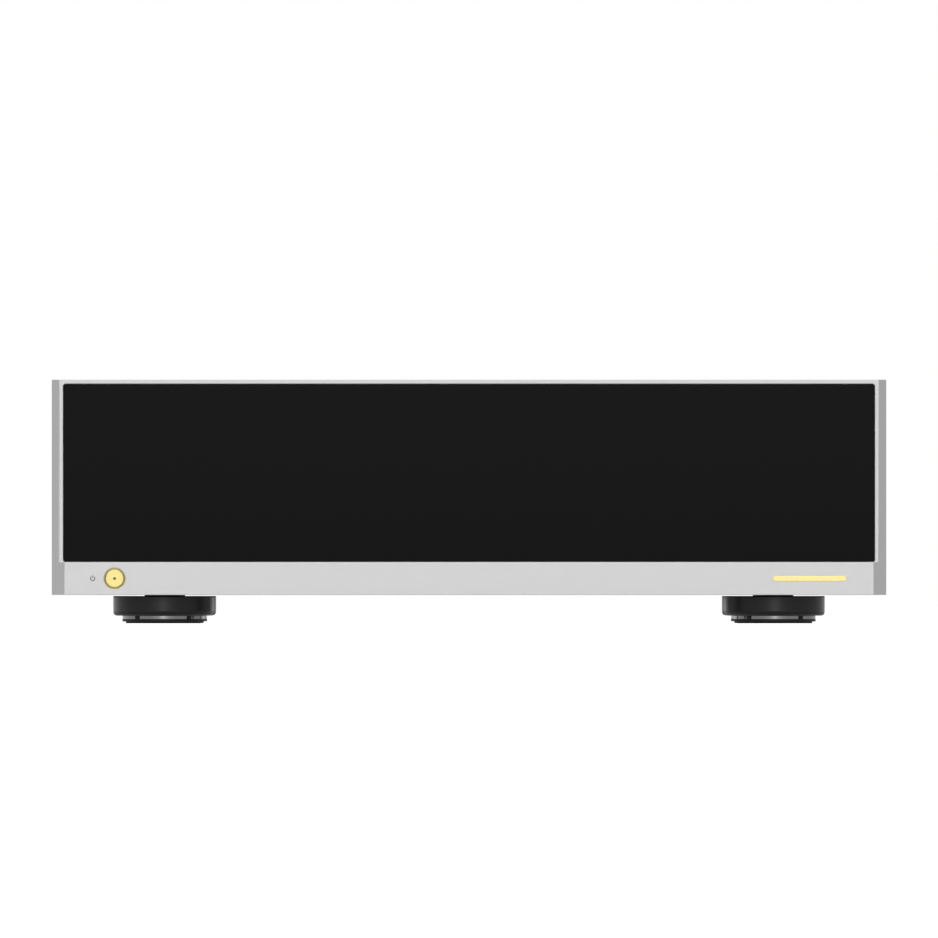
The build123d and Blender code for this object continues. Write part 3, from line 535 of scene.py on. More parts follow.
def ring_outline(radius, steps=FINE_STEPS):
    """Outline of a circle about its centre."""
    return [(radius * cos(tau * k / steps), radius * sin(tau * k / steps)) for k in range(steps)]


def hex_outline(across):
    """Outline of a hexagon from its width across the flats."""
    return ring_outline(across / sqrt(3), steps=6)


def mirrored_outline(right):
    """A whole outline from its right half."""
    return right + [(-x, z) for x, z in reversed(right)]


def skin(outlines, centre, axis, stations):
    """A closed skin over outlines of one count of spots, each at its own length along an axis."""
    shape = bmesh.new()
    rings = []
    for outline, along in zip(outlines, stations):
        spots = [axis_point(axis, across, up, along) for across, up in outline]
        rings.append([shape.verts.new(Vector(spot) + Vector(centre)) for spot in spots])
    for first, second in zip(rings, rings[1:]):
        for k in range(len(first)):
            after = (k + 1) % len(first)
            shape.faces.new((first[k], first[after], second[after], second[k]))
    shape.faces.new(rings[0])
    shape.faces.new(rings[-1])
    bmesh.ops.recalc_face_normals(shape, faces=shape.faces)
    return shape


def pulled(outline, centre, low, high, axis="Z"):
    """Pull an outline about a centre from one height to another along an axis."""
    return skin((outline, outline), centre, axis, (low, high))


def of_cad(node):
    """The solid of a node as a clean shape, its flat faces whole."""
    shape = bmesh.new()
    shape.from_mesh(frame["nodes"][node].data)
    bmesh.ops.remove_doubles(shape, verts=shape.verts, dist=WELD)
    bmesh.ops.dissolve_limit(shape, angle_limit=FLAT, verts=shape.verts, edges=shape.edges)
    return shape


def joined(shapes):
    """Several shapes in one."""
    whole = bmesh.new()
    whole.loops.layers.uv.new("tool_lines")
    for shape in shapes:
        part = bpy.data.meshes.new("part")
        shape.to_mesh(part)
        shape.free()
        whole.from_mesh(part)
        bpy.data.meshes.remove(part)
    return whole


def mark_edges(shape):
    """Smooth a shape but for its sharp edges, and weigh those that stand out for a bevel."""
    weight = shape.edges.layers.float.get("bevel_weight_edge")
    weight = weight or shape.edges.layers.float.new("bevel_weight_edge")
    for face in shape.faces:
        face.smooth = True
    for edge in shape.edges:
        edge.smooth = len(edge.link_faces) == 2 and edge.calc_face_angle(pi) < SHARP
        edge[weight] = float(not edge.smooth and edge.is_convex)


def sharpened(thing):
    """Mark the edges of a mesh that a tree has made."""
    shape = bmesh.new()
    shape.from_mesh(thing.data)
    mark_edges(shape)
    shape.to_mesh(thing.data)
    shape.free()
    return thing


def linked(name, data):
    """A new object in the scene."""
    thing = bpy.data.objects.new(name, data)
    bpy.context.scene.collection.objects.link(thing)
    return thing


def object_of(name, shape, slot=None):
    """A shape as an object, its edges marked."""
    mark_edges(shape)
    mesh = bpy.data.meshes.new(name)
    shape.to_mesh(mesh)
    shape.free()
    if slot:
        mesh.materials.append(finish(slot))
    return linked(name, mesh)


def edged(thing, width, segments=2):
    """Break the sharp edges of a piece."""
    bevel = thing.modifiers.new("edges", "BEVEL")
    bevel.width = width
    bevel.segments = segments
    bevel.limit_method = "WEIGHT"
    bevel.use_clamp_overlap = False
    bevel.harden_normals = True
    return thing


def seated(thing, body, slot, *nodes):
    """Fix a piece to its body and hide the solids that it stands for. Its slot is not used."""
    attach(thing, body)
    if nodes:
        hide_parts(*nodes)
    return thing


def made(name, shape, slot, body, *nodes, edge=0.0, segments=2):
    """A shape as a finished piece on its body. Its edges are broken where a width is given."""
    thing = object_of(name, shape, slot)
    if edge:
        edged(thing, edge, segments)
    return seated(thing, body, slot, *nodes)


def new_tree(name, inputs):
    """An empty geometry tree with named inputs."""
    tree = bpy.data.node_groups.new(name, "GeometryNodeTree")
    for label, kind in inputs.items():
        tree.interface.new_socket(label, in_out="INPUT", socket_type="NodeSocket" + kind)
    tree.interface.new_socket("Geometry", in_out="OUTPUT", socket_type="NodeSocketGeometry")
    sheet = Sheet(tree)
    return tree, sheet, {label: sheet.add("NodeGroupInput", out=label) for label in inputs}


def close_tree(sheet, geometry, material):
    """Make what the tree has laid out real, and give it its finish."""
    real = sheet.add("GeometryNodeRealizeInstances", None, {0: geometry})
    ended = sheet.add("GeometryNodeSetMaterial", None, {"Geometry": real, "Material": material})
    sheet.add("NodeGroupOutput", None, {"Geometry": ended})


def copies_tree():
    """Copies of a piece, first round a circle and then over a grid."""
    tree, sheet, given = new_tree("copies_of_a_piece", {
        "Piece": "Object", "Around": "Int", "Reach": "Float", "First angle": "Float",
        "Columns": "Int", "Rows": "Int", "Column pitch": "Float", "Row pitch": "Float",
        "Turn": "Vector", "Place": "Vector", "Finish": "Material",
    })
    index = sheet.add("GeometryNodeInputIndex")
    template = sheet.add("GeometryNodeObjectInfo", None, {"Object": given["Piece"]}, out="Geometry")
    angle = given["First angle"] + index * (tau / given["Around"])
    spot = {
        0: given["Reach"] * angle.math("COSINE", angle),
        1: given["Reach"] * angle.math("SINE", angle),
    }
    ring = sheet.add("GeometryNodePoints", None, {
        "Count": given["Around"], "Position": sheet.add("ShaderNodeCombineXYZ", None, spot),
    })
    around = sheet.add("GeometryNodeInstanceOnPoints", None, {
        "Points": ring, "Instance": template,
        "Rotation": sheet.add("ShaderNodeCombineXYZ", None, {2: angle}),
    })
    column = index % given["Columns"]
    row = index.math("FLOOR", index / given["Columns"])
    middle = {
        0: (column - (given["Columns"] - 1) * 0.5) * given["Column pitch"],
        1: (row - (given["Rows"] - 1) * 0.5) * given["Row pitch"],
    }
    grid = sheet.add("GeometryNodePoints", None, {
        "Count": given["Columns"] * given["Rows"],
        "Position": sheet.add("ShaderNodeCombineXYZ", None, middle),
    })
    rings = sheet.add("GeometryNodeInstanceOnPoints", None, {"Points": grid, "Instance": around})
    placed = sheet.add("GeometryNodeTransform", None, {
        "Geometry": rings, "Rotation": given["Turn"], "Translation": given["Place"],
    })
    close_tree(sheet, placed, given["Finish"])
    return tree


def cut_tree():
    """One piece with another taken out of it."""
    tree, sheet, given = new_tree("cut_out", {
        "Plate": "Object", "Cutter": "Object", "Finish": "Material",
    })
    solids = [
        sheet.add("GeometryNodeObjectInfo", None, {"Object": given[label]}, out="Geometry")
        for label in ("Plate", "Cutter")
    ]
    left = sheet.add("GeometryNodeMeshBoolean", {"operation": "DIFFERENCE", "solver": "EXACT"},
                     {"Mesh 1": solids[0], "Mesh 2": solids[1]})
    close_tree(sheet, left, given["Finish"])
    return tree


COPIES = copies_tree()
CUT = cut_tree()


def grown(name, tree, **values):
    """What a geometry tree makes, as a plain mesh."""
    thing = linked(name, bpy.data.meshes.new(name))
    modifier = thing.modifiers.new("tree", "NODES")
    modifier.node_group = tree
    for item in tree.interface.items_tree:
        label = item.name.replace(" ", "_").lower()
        if item.in_out == "INPUT" and label in values:
            modifier[item.identifier] = values[label]
    seen = thing.evaluated_get(bpy.context.evaluated_depsgraph_get())
    mesh = bpy.data.meshes.new_from_object(seen)
    thing.modifiers.clear()
    thing.data = mesh
    mesh.name = name
    return thing


def copies(name, template, slot, around=1, reach=0.0, first_angle=0.0, columns=1, rows=1,
           column_pitch=0.0, row_pitch=0.0, turn=(0.0, 0.0, 0.0), place=(0.0, 0.0, 0.0)):
    """Copies of a template, which is then thrown away."""
    thing = grown(name, COPIES, piece=template, around=around, reach=reach,
                  first_angle=first_angle, columns=columns, rows=rows, column_pitch=column_pitch,
                  row_pitch=row_pitch, turn=turn, place=place, finish=finish(slot))
    bpy.data.objects.remove(template)
    return sharpened(thing)


def laid_out(name, template, slot, *nodes, **layout):
    """Copies of a template as one finished piece on the chassis."""
    return seated(copies(name, template, slot, **layout), "chassis", slot, *nodes)


def cut_out(name, plate, cutter, slot):
    """A plate with a cutter taken out of it. It keeps the map only if its finish has lines.

    Where one of the two has no map, the cut leaves chance values in it.
    """
    thing = grown(name, CUT, plate=plate, cutter=cutter, finish=finish(slot))
    for used in (plate, cutter):
        bpy.data.objects.remove(used)
    maps = thing.data.uv_layers
    while maps and "lines" not in FINISHES[slot]:
        maps.remove(maps[0])
    return sharpened(thing)


def middle_of(node):
    """Centre of a node's box."""
    low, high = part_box(node)
    return (low + high) / 2


def size_of(node):
    """Size of a node's box."""
    low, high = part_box(node)
    return high - low


def refined(node, slot, edge, body="chassis", segments=2):
    """A solid with its edges broken."""
    made(node + "_finished", of_cad(node), slot, body, node, edge=edge, segments=segments)


def front():
    """Front panel and glass."""
    refined("front_panel", "case_aluminium", CASE_EDGE, segments=3)
    low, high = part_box("front_glass")
    centre = ((low.x + high.x) / 2, 0, (low.z + high.z) / 2)
    outline = rounded_outline(high.x - low.x, high.z - low.z, GLASS_CORNER)
    glass = pulled(outline, centre, low.y, high.y, "Y")
    made("glass", glass, "black_glass", "chassis", "front_glass", edge=GLASS_EDGE)


def standby_mark():
    """An open ring with an upright stem, printed beside the button."""
    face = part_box("front_panel")[0].y
    button_middle = middle_of("power_button")
    centre = Vector((button_middle.x - MARK_FROM_BUTTON, 0, button_middle.z))
    outer, inner = MARK_RADIUS + MARK_WIDTH / 2, MARK_RADIUS - MARK_WIDTH / 2
    first, turn = pi / 2 + MARK_OPEN, tau - 2 * MARK_OPEN
    sweep = [first + turn * k / FINE_STEPS for k in range(FINE_STEPS + 1)]
    ring = [(outer * cos(a), outer * sin(a)) for a in sweep]
    ring += [(inner * cos(a), inner * sin(a)) for a in reversed(sweep)]
    stem = rounded_outline(MARK_STEM_WIDTH, MARK_STEM, MARK_STEM_WIDTH * SOFT_CORNER, steps=4)
    stem = [(x, z + MARK_STEM / 2 + MARK_STEM_START) for x, z in stem]
    shapes = [pulled(outline, centre, face - INK, face, "Y") for outline in (ring, stem)]
    seated(object_of("standby_mark", joined(shapes), "mark_grey"), "chassis", "case_aluminium")


def gold_bar():
    """A plain raised bar at the right of the chin."""
    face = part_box("front_panel")[0].y
    outline = rounded_outline(BAR_LENGTH, BAR_HEIGHT, BAR_HEIGHT * ROUND_END)
    centre = (BAR_PLACE, 0, middle_of("power_button").z)
    bar = pulled(outline, centre, face - BAR_RISE, face, "Y")
    made("gold_bar", bar, "gold_plate", "chassis", edge=BAR_EDGE, segments=3)


def button():
    """Gold cap with its lamp, in the dished ring that lines its bore."""
    low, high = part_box("power_button")
    centre = middle_of("power_button") * Vector((1, 0, 1))
    flange = size_of("power_button").x / 2
    ring_low, ring_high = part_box("button_ring")
    ring_radius = size_of("button_ring").x / 2
    flange_front = ring_high.y + FLANGE_GAP
    lamp_low, lamp_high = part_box("button_lamp")
    well = LAMP_RADIUS + LAMP_GAP
    cap = [
        (0, lamp_high.y), (well, lamp_high.y), (well, low.y, WELL_ROUND),
        (BUTTON_RADIUS - BUTTON_CHAMFER, low.y, BUTTON_ROUND),
        (BUTTON_RADIUS, low.y + BUTTON_CHAMFER, BUTTON_ROUND),
        (BUTTON_RADIUS, flange_front), (flange, flange_front), (flange, high.y), (0, high.y),
    ]
    made("button_cap", turned(cap, centre, "Y"), "gold", "button", "power_button")
    bore = BUTTON_RADIUS + BUTTON_GAP
    ring = [
        (bore, ring_low.y + RING_DISH), (ring_radius - RING_LIP, ring_low.y, RING_ROUND),
        (ring_radius, ring_low.y), (ring_radius, ring_high.y), (bore, ring_high.y),
    ]
    # The ring's darker, greyer gold is painted shade.
    made("bezel", turned(ring, centre, "Y", closed=True), "dark_gold", "chassis", "button_ring")
    lamp = disc_profile(LAMP_RADIUS, lamp_low.y, lamp_high.y, LAMP_ROUND)
    lamp = turned(lamp, centre, "Y", FINE_STEPS)
    made("light_guide", lamp, "lamp_clear", "button", "button_lamp")


def keyed_screw(profile, top):
    """A screw turned from a profile, with the key's socket cut into the top of its head."""
    body = object_of("screw", turned(profile, steps=FINE_STEPS))
    key = object_of("key", pulled(hex_outline(HEX_SOCKET), (0, 0, top), -HEX_DEPTH, MM))
    return cut_out("screw_template", body, key, "black_screws")


def sunk_screw():
    """A countersunk screw, its top on Z = 0."""
    return keyed_screw([
        (0, 0), (SCREW_HEAD, 0, SCREW_ROUND), (SCREW_SHANK, SCREW_SHANK - SCREW_HEAD),
        (SCREW_SHANK, -SCREW_LENGTH), (0, -SCREW_LENGTH),
    ], 0)


def dome_screw():
    """A screw with a low round head, its seat on Z = 0."""
    return keyed_screw([
        (0, DOME_HEIGHT), (DOME_RADIUS * DOME_CROWN, DOME_HEIGHT, DOME_CROWN_ROUND),
        (DOME_RADIUS, DOME_RIM, DOME_RIM_ROUND), (DOME_RADIUS, 0), (SCREW_SHANK, 0),
        (SCREW_SHANK, -SCREW_LENGTH), (0, -SCREW_LENGTH),
    ], DOME_HEIGHT)


def sink_cutter():
    """The space of a countersunk screw, a little wider than the screw."""
    head = SCREW_HEAD + SCREW_HOLE
    shank = SCREW_SHANK + SCREW_HOLE
    profile = [(0, MM), (head, MM), (head, -SCREW_SINK), (shank, -SCREW_SINK - head + shank),
               (shank, -2 * SCREW_LENGTH), (0, -2 * SCREW_LENGTH)]
    return object_of("sink", turned(profile, steps=FINE_STEPS))


def flat_plate(node):
    """A plain plate that fills a node's box."""
    low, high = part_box(node)
    outline = square_outline(high.x - low.x, high.y - low.y)
    return object_of("plate", pulled(outline, ((low + high) / 2).to_2d().to_3d(), low.z, high.z))


def top():
    """Top cover with its countersunk screws."""
    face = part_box("top_cover")[1].z
    centre, reach = middle_of("cover_screws"), size_of("cover_screws")
    plate = flat_plate("top_cover")
    grid = {"columns": 2, "rows": 3, "column_pitch": reach.x - 2 * SCREW_HEAD,
            "row_pitch": (reach.y - 2 * SCREW_HEAD) / 2}
    holes = copies("holes", sink_cutter(), "case_aluminium", **grid,
                   place=(centre.x, centre.y, face))
    cover = cut_out("top_cover_finished", plate, holes, "case_aluminium")
    seated(edged(cover, PANEL_EDGE), "chassis", "case_aluminium", "top_cover")
    laid_out("cover_screws_finished", sunk_screw(), "black_screws", "cover_screws", **grid,
             place=(centre.x, centre.y, face - SCREW_SINK))


def sides():
    """Both side walls."""
    for node in ("left_side_panel", "right_side_panel"):
        refined(node, "case_aluminium", PANEL_EDGE)


def vent_cutter():
    """One air slot with round ends."""
    low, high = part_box("base_plate")
    outline = rounded_outline(VENT_WIDTH, VENT_LENGTH, VENT_WIDTH * ROUND_END)
    return object_of("vent", pulled(outline, (0, 0, 0), low.z - MM, high.z + MM))


def bottom():
    """Base plate with its air slots and screws."""
    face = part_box("base_plate")[0].z
    centre, reach = middle_of("base_screws"), size_of("base_screws")
    plate = flat_plate("base_plate")
    for x in VENT_ROWS:
        vents = copies("vents", vent_cutter(), "base_black", columns=VENT_COUNT,
                       column_pitch=VENT_PITCH, place=(x, VENT_MIDDLE, 0))
        plate = cut_out("plate", plate, vents, "base_black")
    grid = {"columns": 2, "rows": 2, "column_pitch": reach.x - 2 * SCREW_HEAD,
            "row_pitch": reach.y - 2 * SCREW_HEAD, "turn": (pi, 0, 0)}
    holes = copies("holes", sink_cutter(), "base_black", **grid, place=(centre.x, centre.y, face))
    plate = cut_out("base_plate_finished", plate, holes, "base_black")
    seated(edged(plate, BASE_EDGE, segments=1), "chassis", "base_black", "base_plate")
    laid_out("base_screws_finished", sunk_screw(), "black_screws", "base_screws", **grid,
             place=(centre.x, centre.y, face + SCREW_SINK))


def post_shapes(start, end, gap, low, high):
    """A foot's four posts, or with a gap the notches that they stand in."""
    outline = rounded_outline(POST_WIDTH + 2 * gap, end - start, POST_EDGE + gap, steps=4)
    middle = (start + end) / 2
    return joined([
        pulled(outline, (x, y, 0), low, high)
        for x in (-POST_ACROSS, POST_ACROSS) for y in (-middle, middle)
    ])


def feet():
    """Four pucks on bright plates, posts, soles and pads."""
    neck_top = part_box("front_panel")[0].z
    puck_top = neck_top - NECK_HEIGHT
    for node in ("front_left_foot", "front_right_foot", "rear_left_foot", "rear_right_foot"):
        low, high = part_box(node)
        radius = (high.x - low.x) / 2
        profile = [
            (0, low.z), (radius, low.z, PUCK_ROUND), (radius, puck_top, PUCK_CRISP),
            (NECK_RADIUS, puck_top), (NECK_RADIUS, neck_top), (STUD_RADIUS, neck_top),
            (STUD_RADIUS, high.z), (0, high.z),
        ]
        centre = ((low.x + high.x) / 2, (low.y + high.y) / 2, 0)
        made(node + "_puck", turned(profile, centre), "black_anodised", "chassis", node)
    pad_low, pad_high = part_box("foot_pads")
    sole_low, sole_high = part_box("foot_soles")
    plate_low, plate_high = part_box("foot_plates")
    pad_radius = middle_of("front_left_foot").x - pad_low.x
    across = pad_high.x - pad_low.x - 2 * pad_radius
    along = pad_high.y - pad_low.y - 2 * pad_radius
    sole_radius = (sole_high.x - sole_low.x - across) / 2
    plate_radius = (plate_high.x - plate_low.x - across) / 2
    pad = disc_profile(pad_radius, 0, pad_high.z, PAD_ROUND)
    sole = disc_profile(sole_radius, sole_low.z, sole_high.z, SOLE_ROUND, SOLE_TOP_ROUND)
    plate = disc_profile(plate_radius, plate_low.z, plate_high.z, PLATE_ROUND, PLATE_ROUND)
    # The posts reach out to just inside the plate's edge.
    post_end = sqrt(plate_radius ** 2 - (POST_ACROSS + POST_WIDTH / 2) ** 2) - POST_GAP
    post_start = post_end - POST_LENGTH
    notches = post_shapes(post_start - POST_GAP, 2 * plate_radius, POST_GAP,
                          plate_low.z - MM, plate_high.z + MM)
    notched = cut_out("plate_template", object_of("disc", turned(plate)),
                      object_of("notches", notches), "turned_steel")
    posts = post_shapes(post_start, post_end, 0, plate_low.z, plate_high.z)
    middle = middle_of("foot_pads")
    for name, template, slot, node in (
        ("pads", object_of("pad", turned(pad)), "rubber_black", "foot_pads"),
        ("soles", object_of("sole", turned(sole)), "damper_black", "foot_soles"),
        ("plates", notched, "turned_steel", "foot_plates"),
        ("posts", object_of("post", posts), "damper_black", "foot_posts"),
    ):
        laid_out(name, template, slot, node, columns=2, rows=2, column_pitch=across,
                 row_pitch=along, place=(middle.x, middle.y, 0))


def back():
    """Rear panel with its screws."""
    refined("rear_panel", "case_aluminium", REAR_EDGE)
    centre, reach = middle_of("rear_screws"), size_of("rear_screws")
    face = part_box("rear_panel")[1].y
    laid_out("rear_screws_finished", dome_screw(), "black_screws", "rear_screws",
             columns=2, rows=2, column_pitch=reach.x - 2 * DOME_RADIUS,
             row_pitch=reach.z - 2 * DOME_RADIUS, turn=(-pi / 2, 0, 0),
             place=(centre.x, face, centre.z))


def rear_pieces():
    """What sits in the rear panel, with broken edges."""
    for node, (slot, edge, body) in REAR_PIECES.items():
        refined(node, slot, edge, body)


def drawn_in(outline, depth):
    """An outline, run counterclockwise, with all its sides moved in."""
    spots = []
    for k, spot in enumerate(outline):
        here = Vector(spot)
        first = (here - Vector(outline[k - 1])).normalized().orthogonal()
        second = (Vector(outline[(k + 1) % len(outline)]) - here).normalized().orthogonal()
        spots.append(tuple(here + (first + second) * depth / (1 + first.dot(second))))
    return spots


def shade_liner(name, outline, centre, back, mouth):
    """A black cup inside a metal shell that fills the port's walls and end: partly a moulding,
    partly painted shade of the cavity.
    """
    outer, inner = drawn_in(outline, LINER_FIT), drawn_in(outline, LINER_WALL)
    shape = skin((outer, outer, inner, inner), centre, "Y", (back, mouth, mouth, back + LINER_WALL))
    made(name, shape, "socket_black", "chassis")


def tongue(name, size, corner, place, back, face, slot):
    """The blade that carries a socket's contacts, as a skin over the solid's."""
    width, height = [side + 2 * CONTACT_SKIN for side in size]
    outline = rounded_outline(width, height, corner, steps=3)
    blade = pulled(outline, place, back, face + CONTACT_SKIN, "Y")
    made(name, blade, slot, "chassis", edge=TONGUE_EDGE)


def contact_row(name, size, count, pitch, place):
    """A row of flat contacts, their near ends at a place and their lengths into the socket."""
    width, length = size
    outline = rounded_outline(width, length, width * SOFT_CORNER, steps=2)
    strip = object_of("contact", pulled(outline, (0, -length / 2, 0), -CONTACT_SKIN, CONTACT_SKIN))
    laid_out(name, strip, "gold_plate", columns=count, column_pitch=pitch, place=place)


def network_socket():
    """Black lining and spring wires of the network jack; the lining is partly a moulding, partly
    painted shade of the cavity.
    """
    low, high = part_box("network_jack")
    middle = (low + high) / 2
    port = mirrored_outline([
        (NETWORK_LATCH_HALF, NETWORK_FLOOR), (NETWORK_LATCH_HALF, NETWORK_STEP),
        (NETWORK_HALF, NETWORK_STEP), (NETWORK_HALF, NETWORK_ROOF),
    ])
    shade_liner("network_liner", port, (middle.x, 0, low.z),
          high.y - NETWORK_DEPTH, high.y - NETWORK_MOUTH)
    slope = [
        (0, 0), (-WIRE_REACH, -WIRE_DROP),
        (-WIRE_REACH, -WIRE_DROP - WIRE_WIDTH), (0, -WIRE_WIDTH),
    ]
    wire = object_of("wire", pulled(slope, (0, 0, 0), -WIRE_WIDTH / 2, WIRE_WIDTH / 2, "X"))
    laid_out("network_contacts", wire, "gold_plate", columns=NETWORK_CONTACTS,
             column_pitch=NETWORK_PITCH,
             place=(middle.x, high.y - WIRE_START, low.z + NETWORK_ROOF - LINER_WALL))


def usb_sockets():
    """Black linings, tongues and contacts of the two USB ports; the linings are partly painted
    shade of the cavities.
    """
    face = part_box("usb_ports")[1].y
    middle = middle_of("usb_ports")
    back = face - USB_DEPTH
    for name, port in (("lower", -USB_PITCH / 2), ("upper", USB_PITCH / 2)):
        shade_liner(name + "_usb_liner", square_outline(*USB_PORT), (middle.x, 0, middle.z + port),
              back, face - USB_MOUTH)
        blade_z = middle.z + port + USB_TONGUE[1] / 2
        tongue(name + "_usb_tongue", USB_TONGUE, USB_TONGUE_CORNER, (middle.x, 0, blade_z),
               back, face, "insulator_white")
        contact_z = blade_z - USB_TONGUE[1] / 2 - CONTACT_SKIN
        contact_row(name + "_usb_contacts", USB_CONTACT, USB_CONTACTS, USB_CONTACT_PITCH,
                    (middle.x, face - USB_CONTACT_START, contact_z))


def link_socket():
    """Black lining, tongue and contacts of the I2S port; the lining is partly painted shade of the
    cavity.
    """
    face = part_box("i2s_port")[1].y
    middle = middle_of("i2s_port")
    centre = middle * Vector((1, 0, 1))
    back = face - I2S_DEPTH
    half_width, half_height = I2S_PORT[0] / 2, I2S_PORT[1] / 2
    port = mirrored_outline([
        (half_width - I2S_SHOULDER, -half_height), (half_width, I2S_SHOULDER - half_height),
        (half_width, half_height),
    ])
    shade_liner("i2s_liner", port, centre, back, face - I2S_MOUTH)
    tongue("i2s_tongue", I2S_TONGUE, I2S_TONGUE_CORNER, centre, back, face, "socket_black")
    for name, side in (("lower", -1), ("upper", 1)):
        contact_z = middle.z + side * (I2S_TONGUE[1] / 2 + CONTACT_SKIN)
        contact_row(name + "_i2s_contacts", I2S_CONTACT, I2S_CONTACTS, I2S_CONTACT_PITCH,
                    (middle.x, face - I2S_CONTACT_START, contact_z))


def balanced_socket():
    """Round pins, black insert and flange screws of the balanced connector."""
    low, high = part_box("aes_pins")
    middle = middle_of("aes_connector")
    pin = disc_profile(AES_PIN_RADIUS, 0, high.y - low.y, high_round=AES_PIN_ROUND)
    pin = object_of("pin", turned(pin, steps=PIN_STEPS))
    laid_out("round_pins", pin, "gold_plate", "aes_pins", around=3, reach=AES_PIN_CIRCLE,
             first_angle=pi / 2, turn=(-pi / 2, 0, 0), place=(middle.x, low.y, middle.z))
    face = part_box("aes_connector")[1].y
    port_end = face - AES_PORT_DEPTH
    insert = disc_profile(AES_PORT_RADIUS - LINER_FIT, port_end, port_end + AES_INSERT,
                          high_round=AES_INSERT_ROUND)
    insert = turned(insert, (middle.x, 0, middle.z), "Y")
    made("balanced_insert", insert, "socket_black", "chassis")
    laid_out("flange_screws", dome_screw(), "black_screws", around=2,
             reach=sqrt(AES_SCREW_ACROSS ** 2 + AES_SCREW_UP ** 2),
             first_angle=atan2(AES_SCREW_UP, AES_SCREW_ACROSS), turn=(-pi / 2, 0, 0),
             place=(middle.x, face, middle.z))


def coaxial_socket():
    """Turned barrel on its hexagonal flange, with the insert and its contact."""
    low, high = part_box("coax_jack")
    insert_low, insert_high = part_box("coax_insulator")
    middle = middle_of("coax_insulator")
    centre = (middle.x, 0, middle.z)
    end, face = insert_low.y, insert_high.y
    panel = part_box("rear_panel")[1].y
    hexagon = pulled(hex_outline(COAX_HEX), centre, panel, panel + COAX_HEX_THICK, "Y")
    tail = pulled(ring_outline(COAX_BORE), centre, low.y, panel, "Y")
    made("coax_hexagon", joined([hexagon, tail]), "gold_plate", "chassis",
         edge=COAX_HEX_EDGE, segments=3)
    barrel = [
        (0, end), (COAX_BORE, end), (COAX_BORE, high.y, COAX_BORE_ROUND),
        (COAX_RADIUS, high.y, COAX_ROUND), (COAX_RADIUS, panel), (0, panel),
    ]
    made("coax_barrel", turned(barrel, centre, "Y"), "gold_plate", "chassis", "coax_jack")
    hole_end = end + COAX_HOLE_FLOOR
    insert = [
        (0, end), (COAX_BORE - COAX_FIT, end), (COAX_BORE - COAX_FIT, face, COAX_FACE_ROUND),
        (COAX_HOLE, face, COAX_HOLE_ROUND), (COAX_HOLE, hole_end), (0, hole_end),
    ]
    insert = turned(insert, centre, "Y")
    made("insert", insert, "insulator_white", "chassis", "coax_insulator")
    inner, tip = COAX_HOLE - COAX_CONTACT, face - COAX_CONTACT_SUNK
    contact = [
        (inner, hole_end), (inner, tip, COAX_CONTACT_ROUND),
        (COAX_HOLE, tip), (COAX_HOLE, hole_end),
    ]
    contact = turned(contact, centre, "Y", FINE_STEPS, closed=True)
    made("centre_contact", contact, "gold_plate", "chassis")


def rocker_marks():
    """The plain on and off marks on the two faces of the rocker."""
    middle = middle_of("switch_housing")
    pivot = Vector((middle.x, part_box("mains_inlet")[1].y - ROCKER_PIVOT, middle.z))
    tilt = Matrix.Rotation(ROCKER_TILT, 4, "X")
    valley = pivot + (tilt.inverted() @ Vector((0, ROCKER_CREST, 0)))
    bar = pulled(rounded_outline(ON_WIDTH, ON_LENGTH, ON_CORNER, steps=3), (0, 0, 0), -INK, INK)
    loop = [(OFF_INNER, -INK), (OFF_OUTER, -INK), (OFF_OUTER, INK), (OFF_INNER, INK)]
    loop = turned(loop, steps=FINE_STEPS, closed=True)
    for name, shape, lean, side in (
        ("on_mark", bar, 2 * ROCKER_TILT, 1),
        ("off_mark", loop, 0, -1),
    ):
        up = Vector((0, sin(lean), cos(lean)))
        out = Vector((0, cos(lean), -sin(lean)))
        spot = valley + side * ROCKER_MARK * up
        turn = Matrix((Vector((-1, 0, 0)), up, out)).transposed().to_4x4()
        shape.transform(Matrix.Translation(spot) @ turn)
        seated(object_of(name, shape, "mark_white"), "rocker", "rocker_black")


def inner_pieces():
    """Give every solid that still shows its finish."""
    for row in frame["record"]["subparts"]:
        thing = frame["nodes"][row["node"]]
        if not thing.hide_render:
            slot = thing.material_slots[0]
            slot.link = "OBJECT"
            slot.material = finish(row["material_slot"])


def aimed(name, data, eye, aim):
    """A lamp or camera that looks from one point at another."""
    thing = linked(name, data)
    thing.location = eye
    thing.rotation_euler = (Vector(aim) - Vector(eye)).to_track_quat("-Z", "Y").to_euler()
    return thing


def overhead_lamp():
    """A soft lamp high on the left, which metal and glass don't mirror."""
    data = bpy.data.lights.new("overhead", "AREA")
    data.shape = "RECTANGLE"
    data.size, data.size_y = OVERHEAD_SIZE
    data.energy = OVERHEAD_WATTS
    thing = aimed("overhead", data, OVERHEAD_PLACE, OVERHEAD_AIM)
    thing.visible_camera = False
    thing.visible_glossy = False


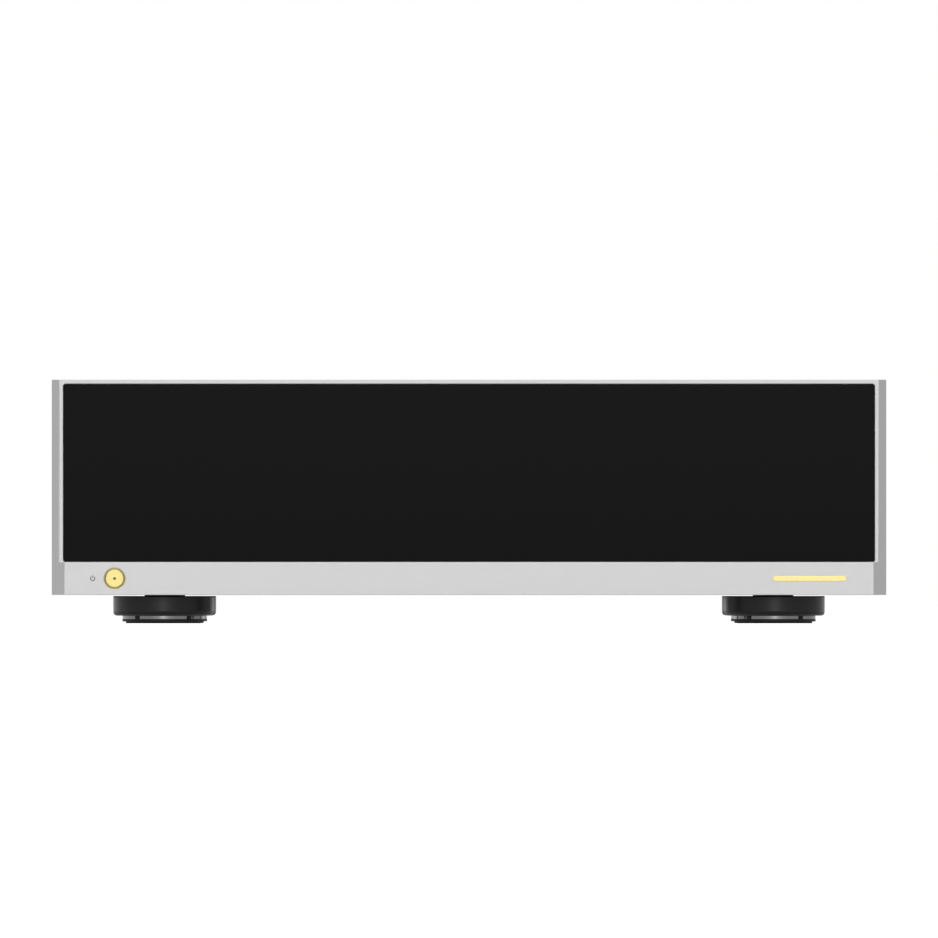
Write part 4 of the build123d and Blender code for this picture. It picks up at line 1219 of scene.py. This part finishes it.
def sky():
    """A mild room: light walls and roof, with a wide glow and a bright strip straight ahead."""
    world = bpy.data.worlds.new("studio")
    bpy.context.scene.world = world
    world.use_nodes = True
    sheet = Sheet(world.node_tree)
    clear, mirrored = sheet.rays()
    heading = sheet.add("ShaderNodeTexCoord", out="Generated")
    side, depth, height = [sheet.split(heading, out) for out in range(3)]
    ahead = (0 - depth).at_least(0.0) ** 2
    behind = depth.at_least(0.0)
    above = height.at_least(0.0)
    walls = WALLS + ROOF * above + BACK_WALL * behind ** 2 - SIDE_LEAN * side * behind
    for light, width in ((GLOW, GLOW_WIDTH), (STRIP, STRIP_WIDTH)):
        walls = walls + light * ((1 - abs(side) / width).at_least(0.0) * ahead)
    strength = clear + (1 - clear) * (mirrored * walls + (1 - mirrored) * ROOM_LIGHT)
    shader = sheet.add("ShaderNodeBackground", None, {"Color": (1, 1, 1, 1), "Strength": strength})
    sheet.add("ShaderNodeOutputWorld", None, {"Surface": shader})


def floor():
    """A pale floor that takes a soft shadow."""
    outline = rounded_outline(FLOOR_SIZE, FLOOR_SIZE, FLOOR_CORNER, steps=2)
    thing = object_of("floor", pulled(outline, (0, 0, 0), -FLOOR_THICK, 0))
    material = bpy.data.materials.new("pale_floor")
    material.use_nodes = True
    sheet = Sheet(material.node_tree)
    clear, mirrored = sheet.rays()
    own_light = FLOOR_SEEN * clear + FLOOR_MIRRORED * mirrored
    grey = (FLOOR_GREY, FLOOR_GREY, FLOOR_GREY, 1)
    lit = sheet.add("ShaderNodeBsdfDiffuse", None, {"Color": grey})
    own = sheet.add("ShaderNodeEmission", None, {"Color": (1, 1, 1, 1), "Strength": own_light})
    both = sheet.add("ShaderNodeAddShader", None, {0: lit, 1: own})
    sheet.add("ShaderNodeOutputMaterial", None, {"Surface": both})
    thing.data.materials.append(material)


def camera():
    """Straight on, far away, and as low as the gap over the feet, so that light shows through."""
    data = bpy.data.cameras.new("camera")
    data.sensor_width = SENSOR
    data.lens = LENS
    data.clip_start, data.clip_end = NEAR, FAR
    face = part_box("front_panel")[0].y
    distance = IMAGE_WIDTH * IMAGE_SCALE * LENS / SENSOR
    bpy.context.scene.camera = aimed("camera", data, (0, face - distance, EYE_HEIGHT),
                                     (0, face, VIEW_HEIGHT))


front()
standby_mark()
gold_bar()
button()
top()
sides()
bottom()
feet()
back()
rear_pieces()
network_socket()
usb_sockets()
link_socket()
balanced_socket()
coaxial_socket()
rocker_marks()
inner_pieces()
sky()
floor()
overhead_lamp()
camera()
bpy.context.scene.view_settings.view_transform = "Standard"
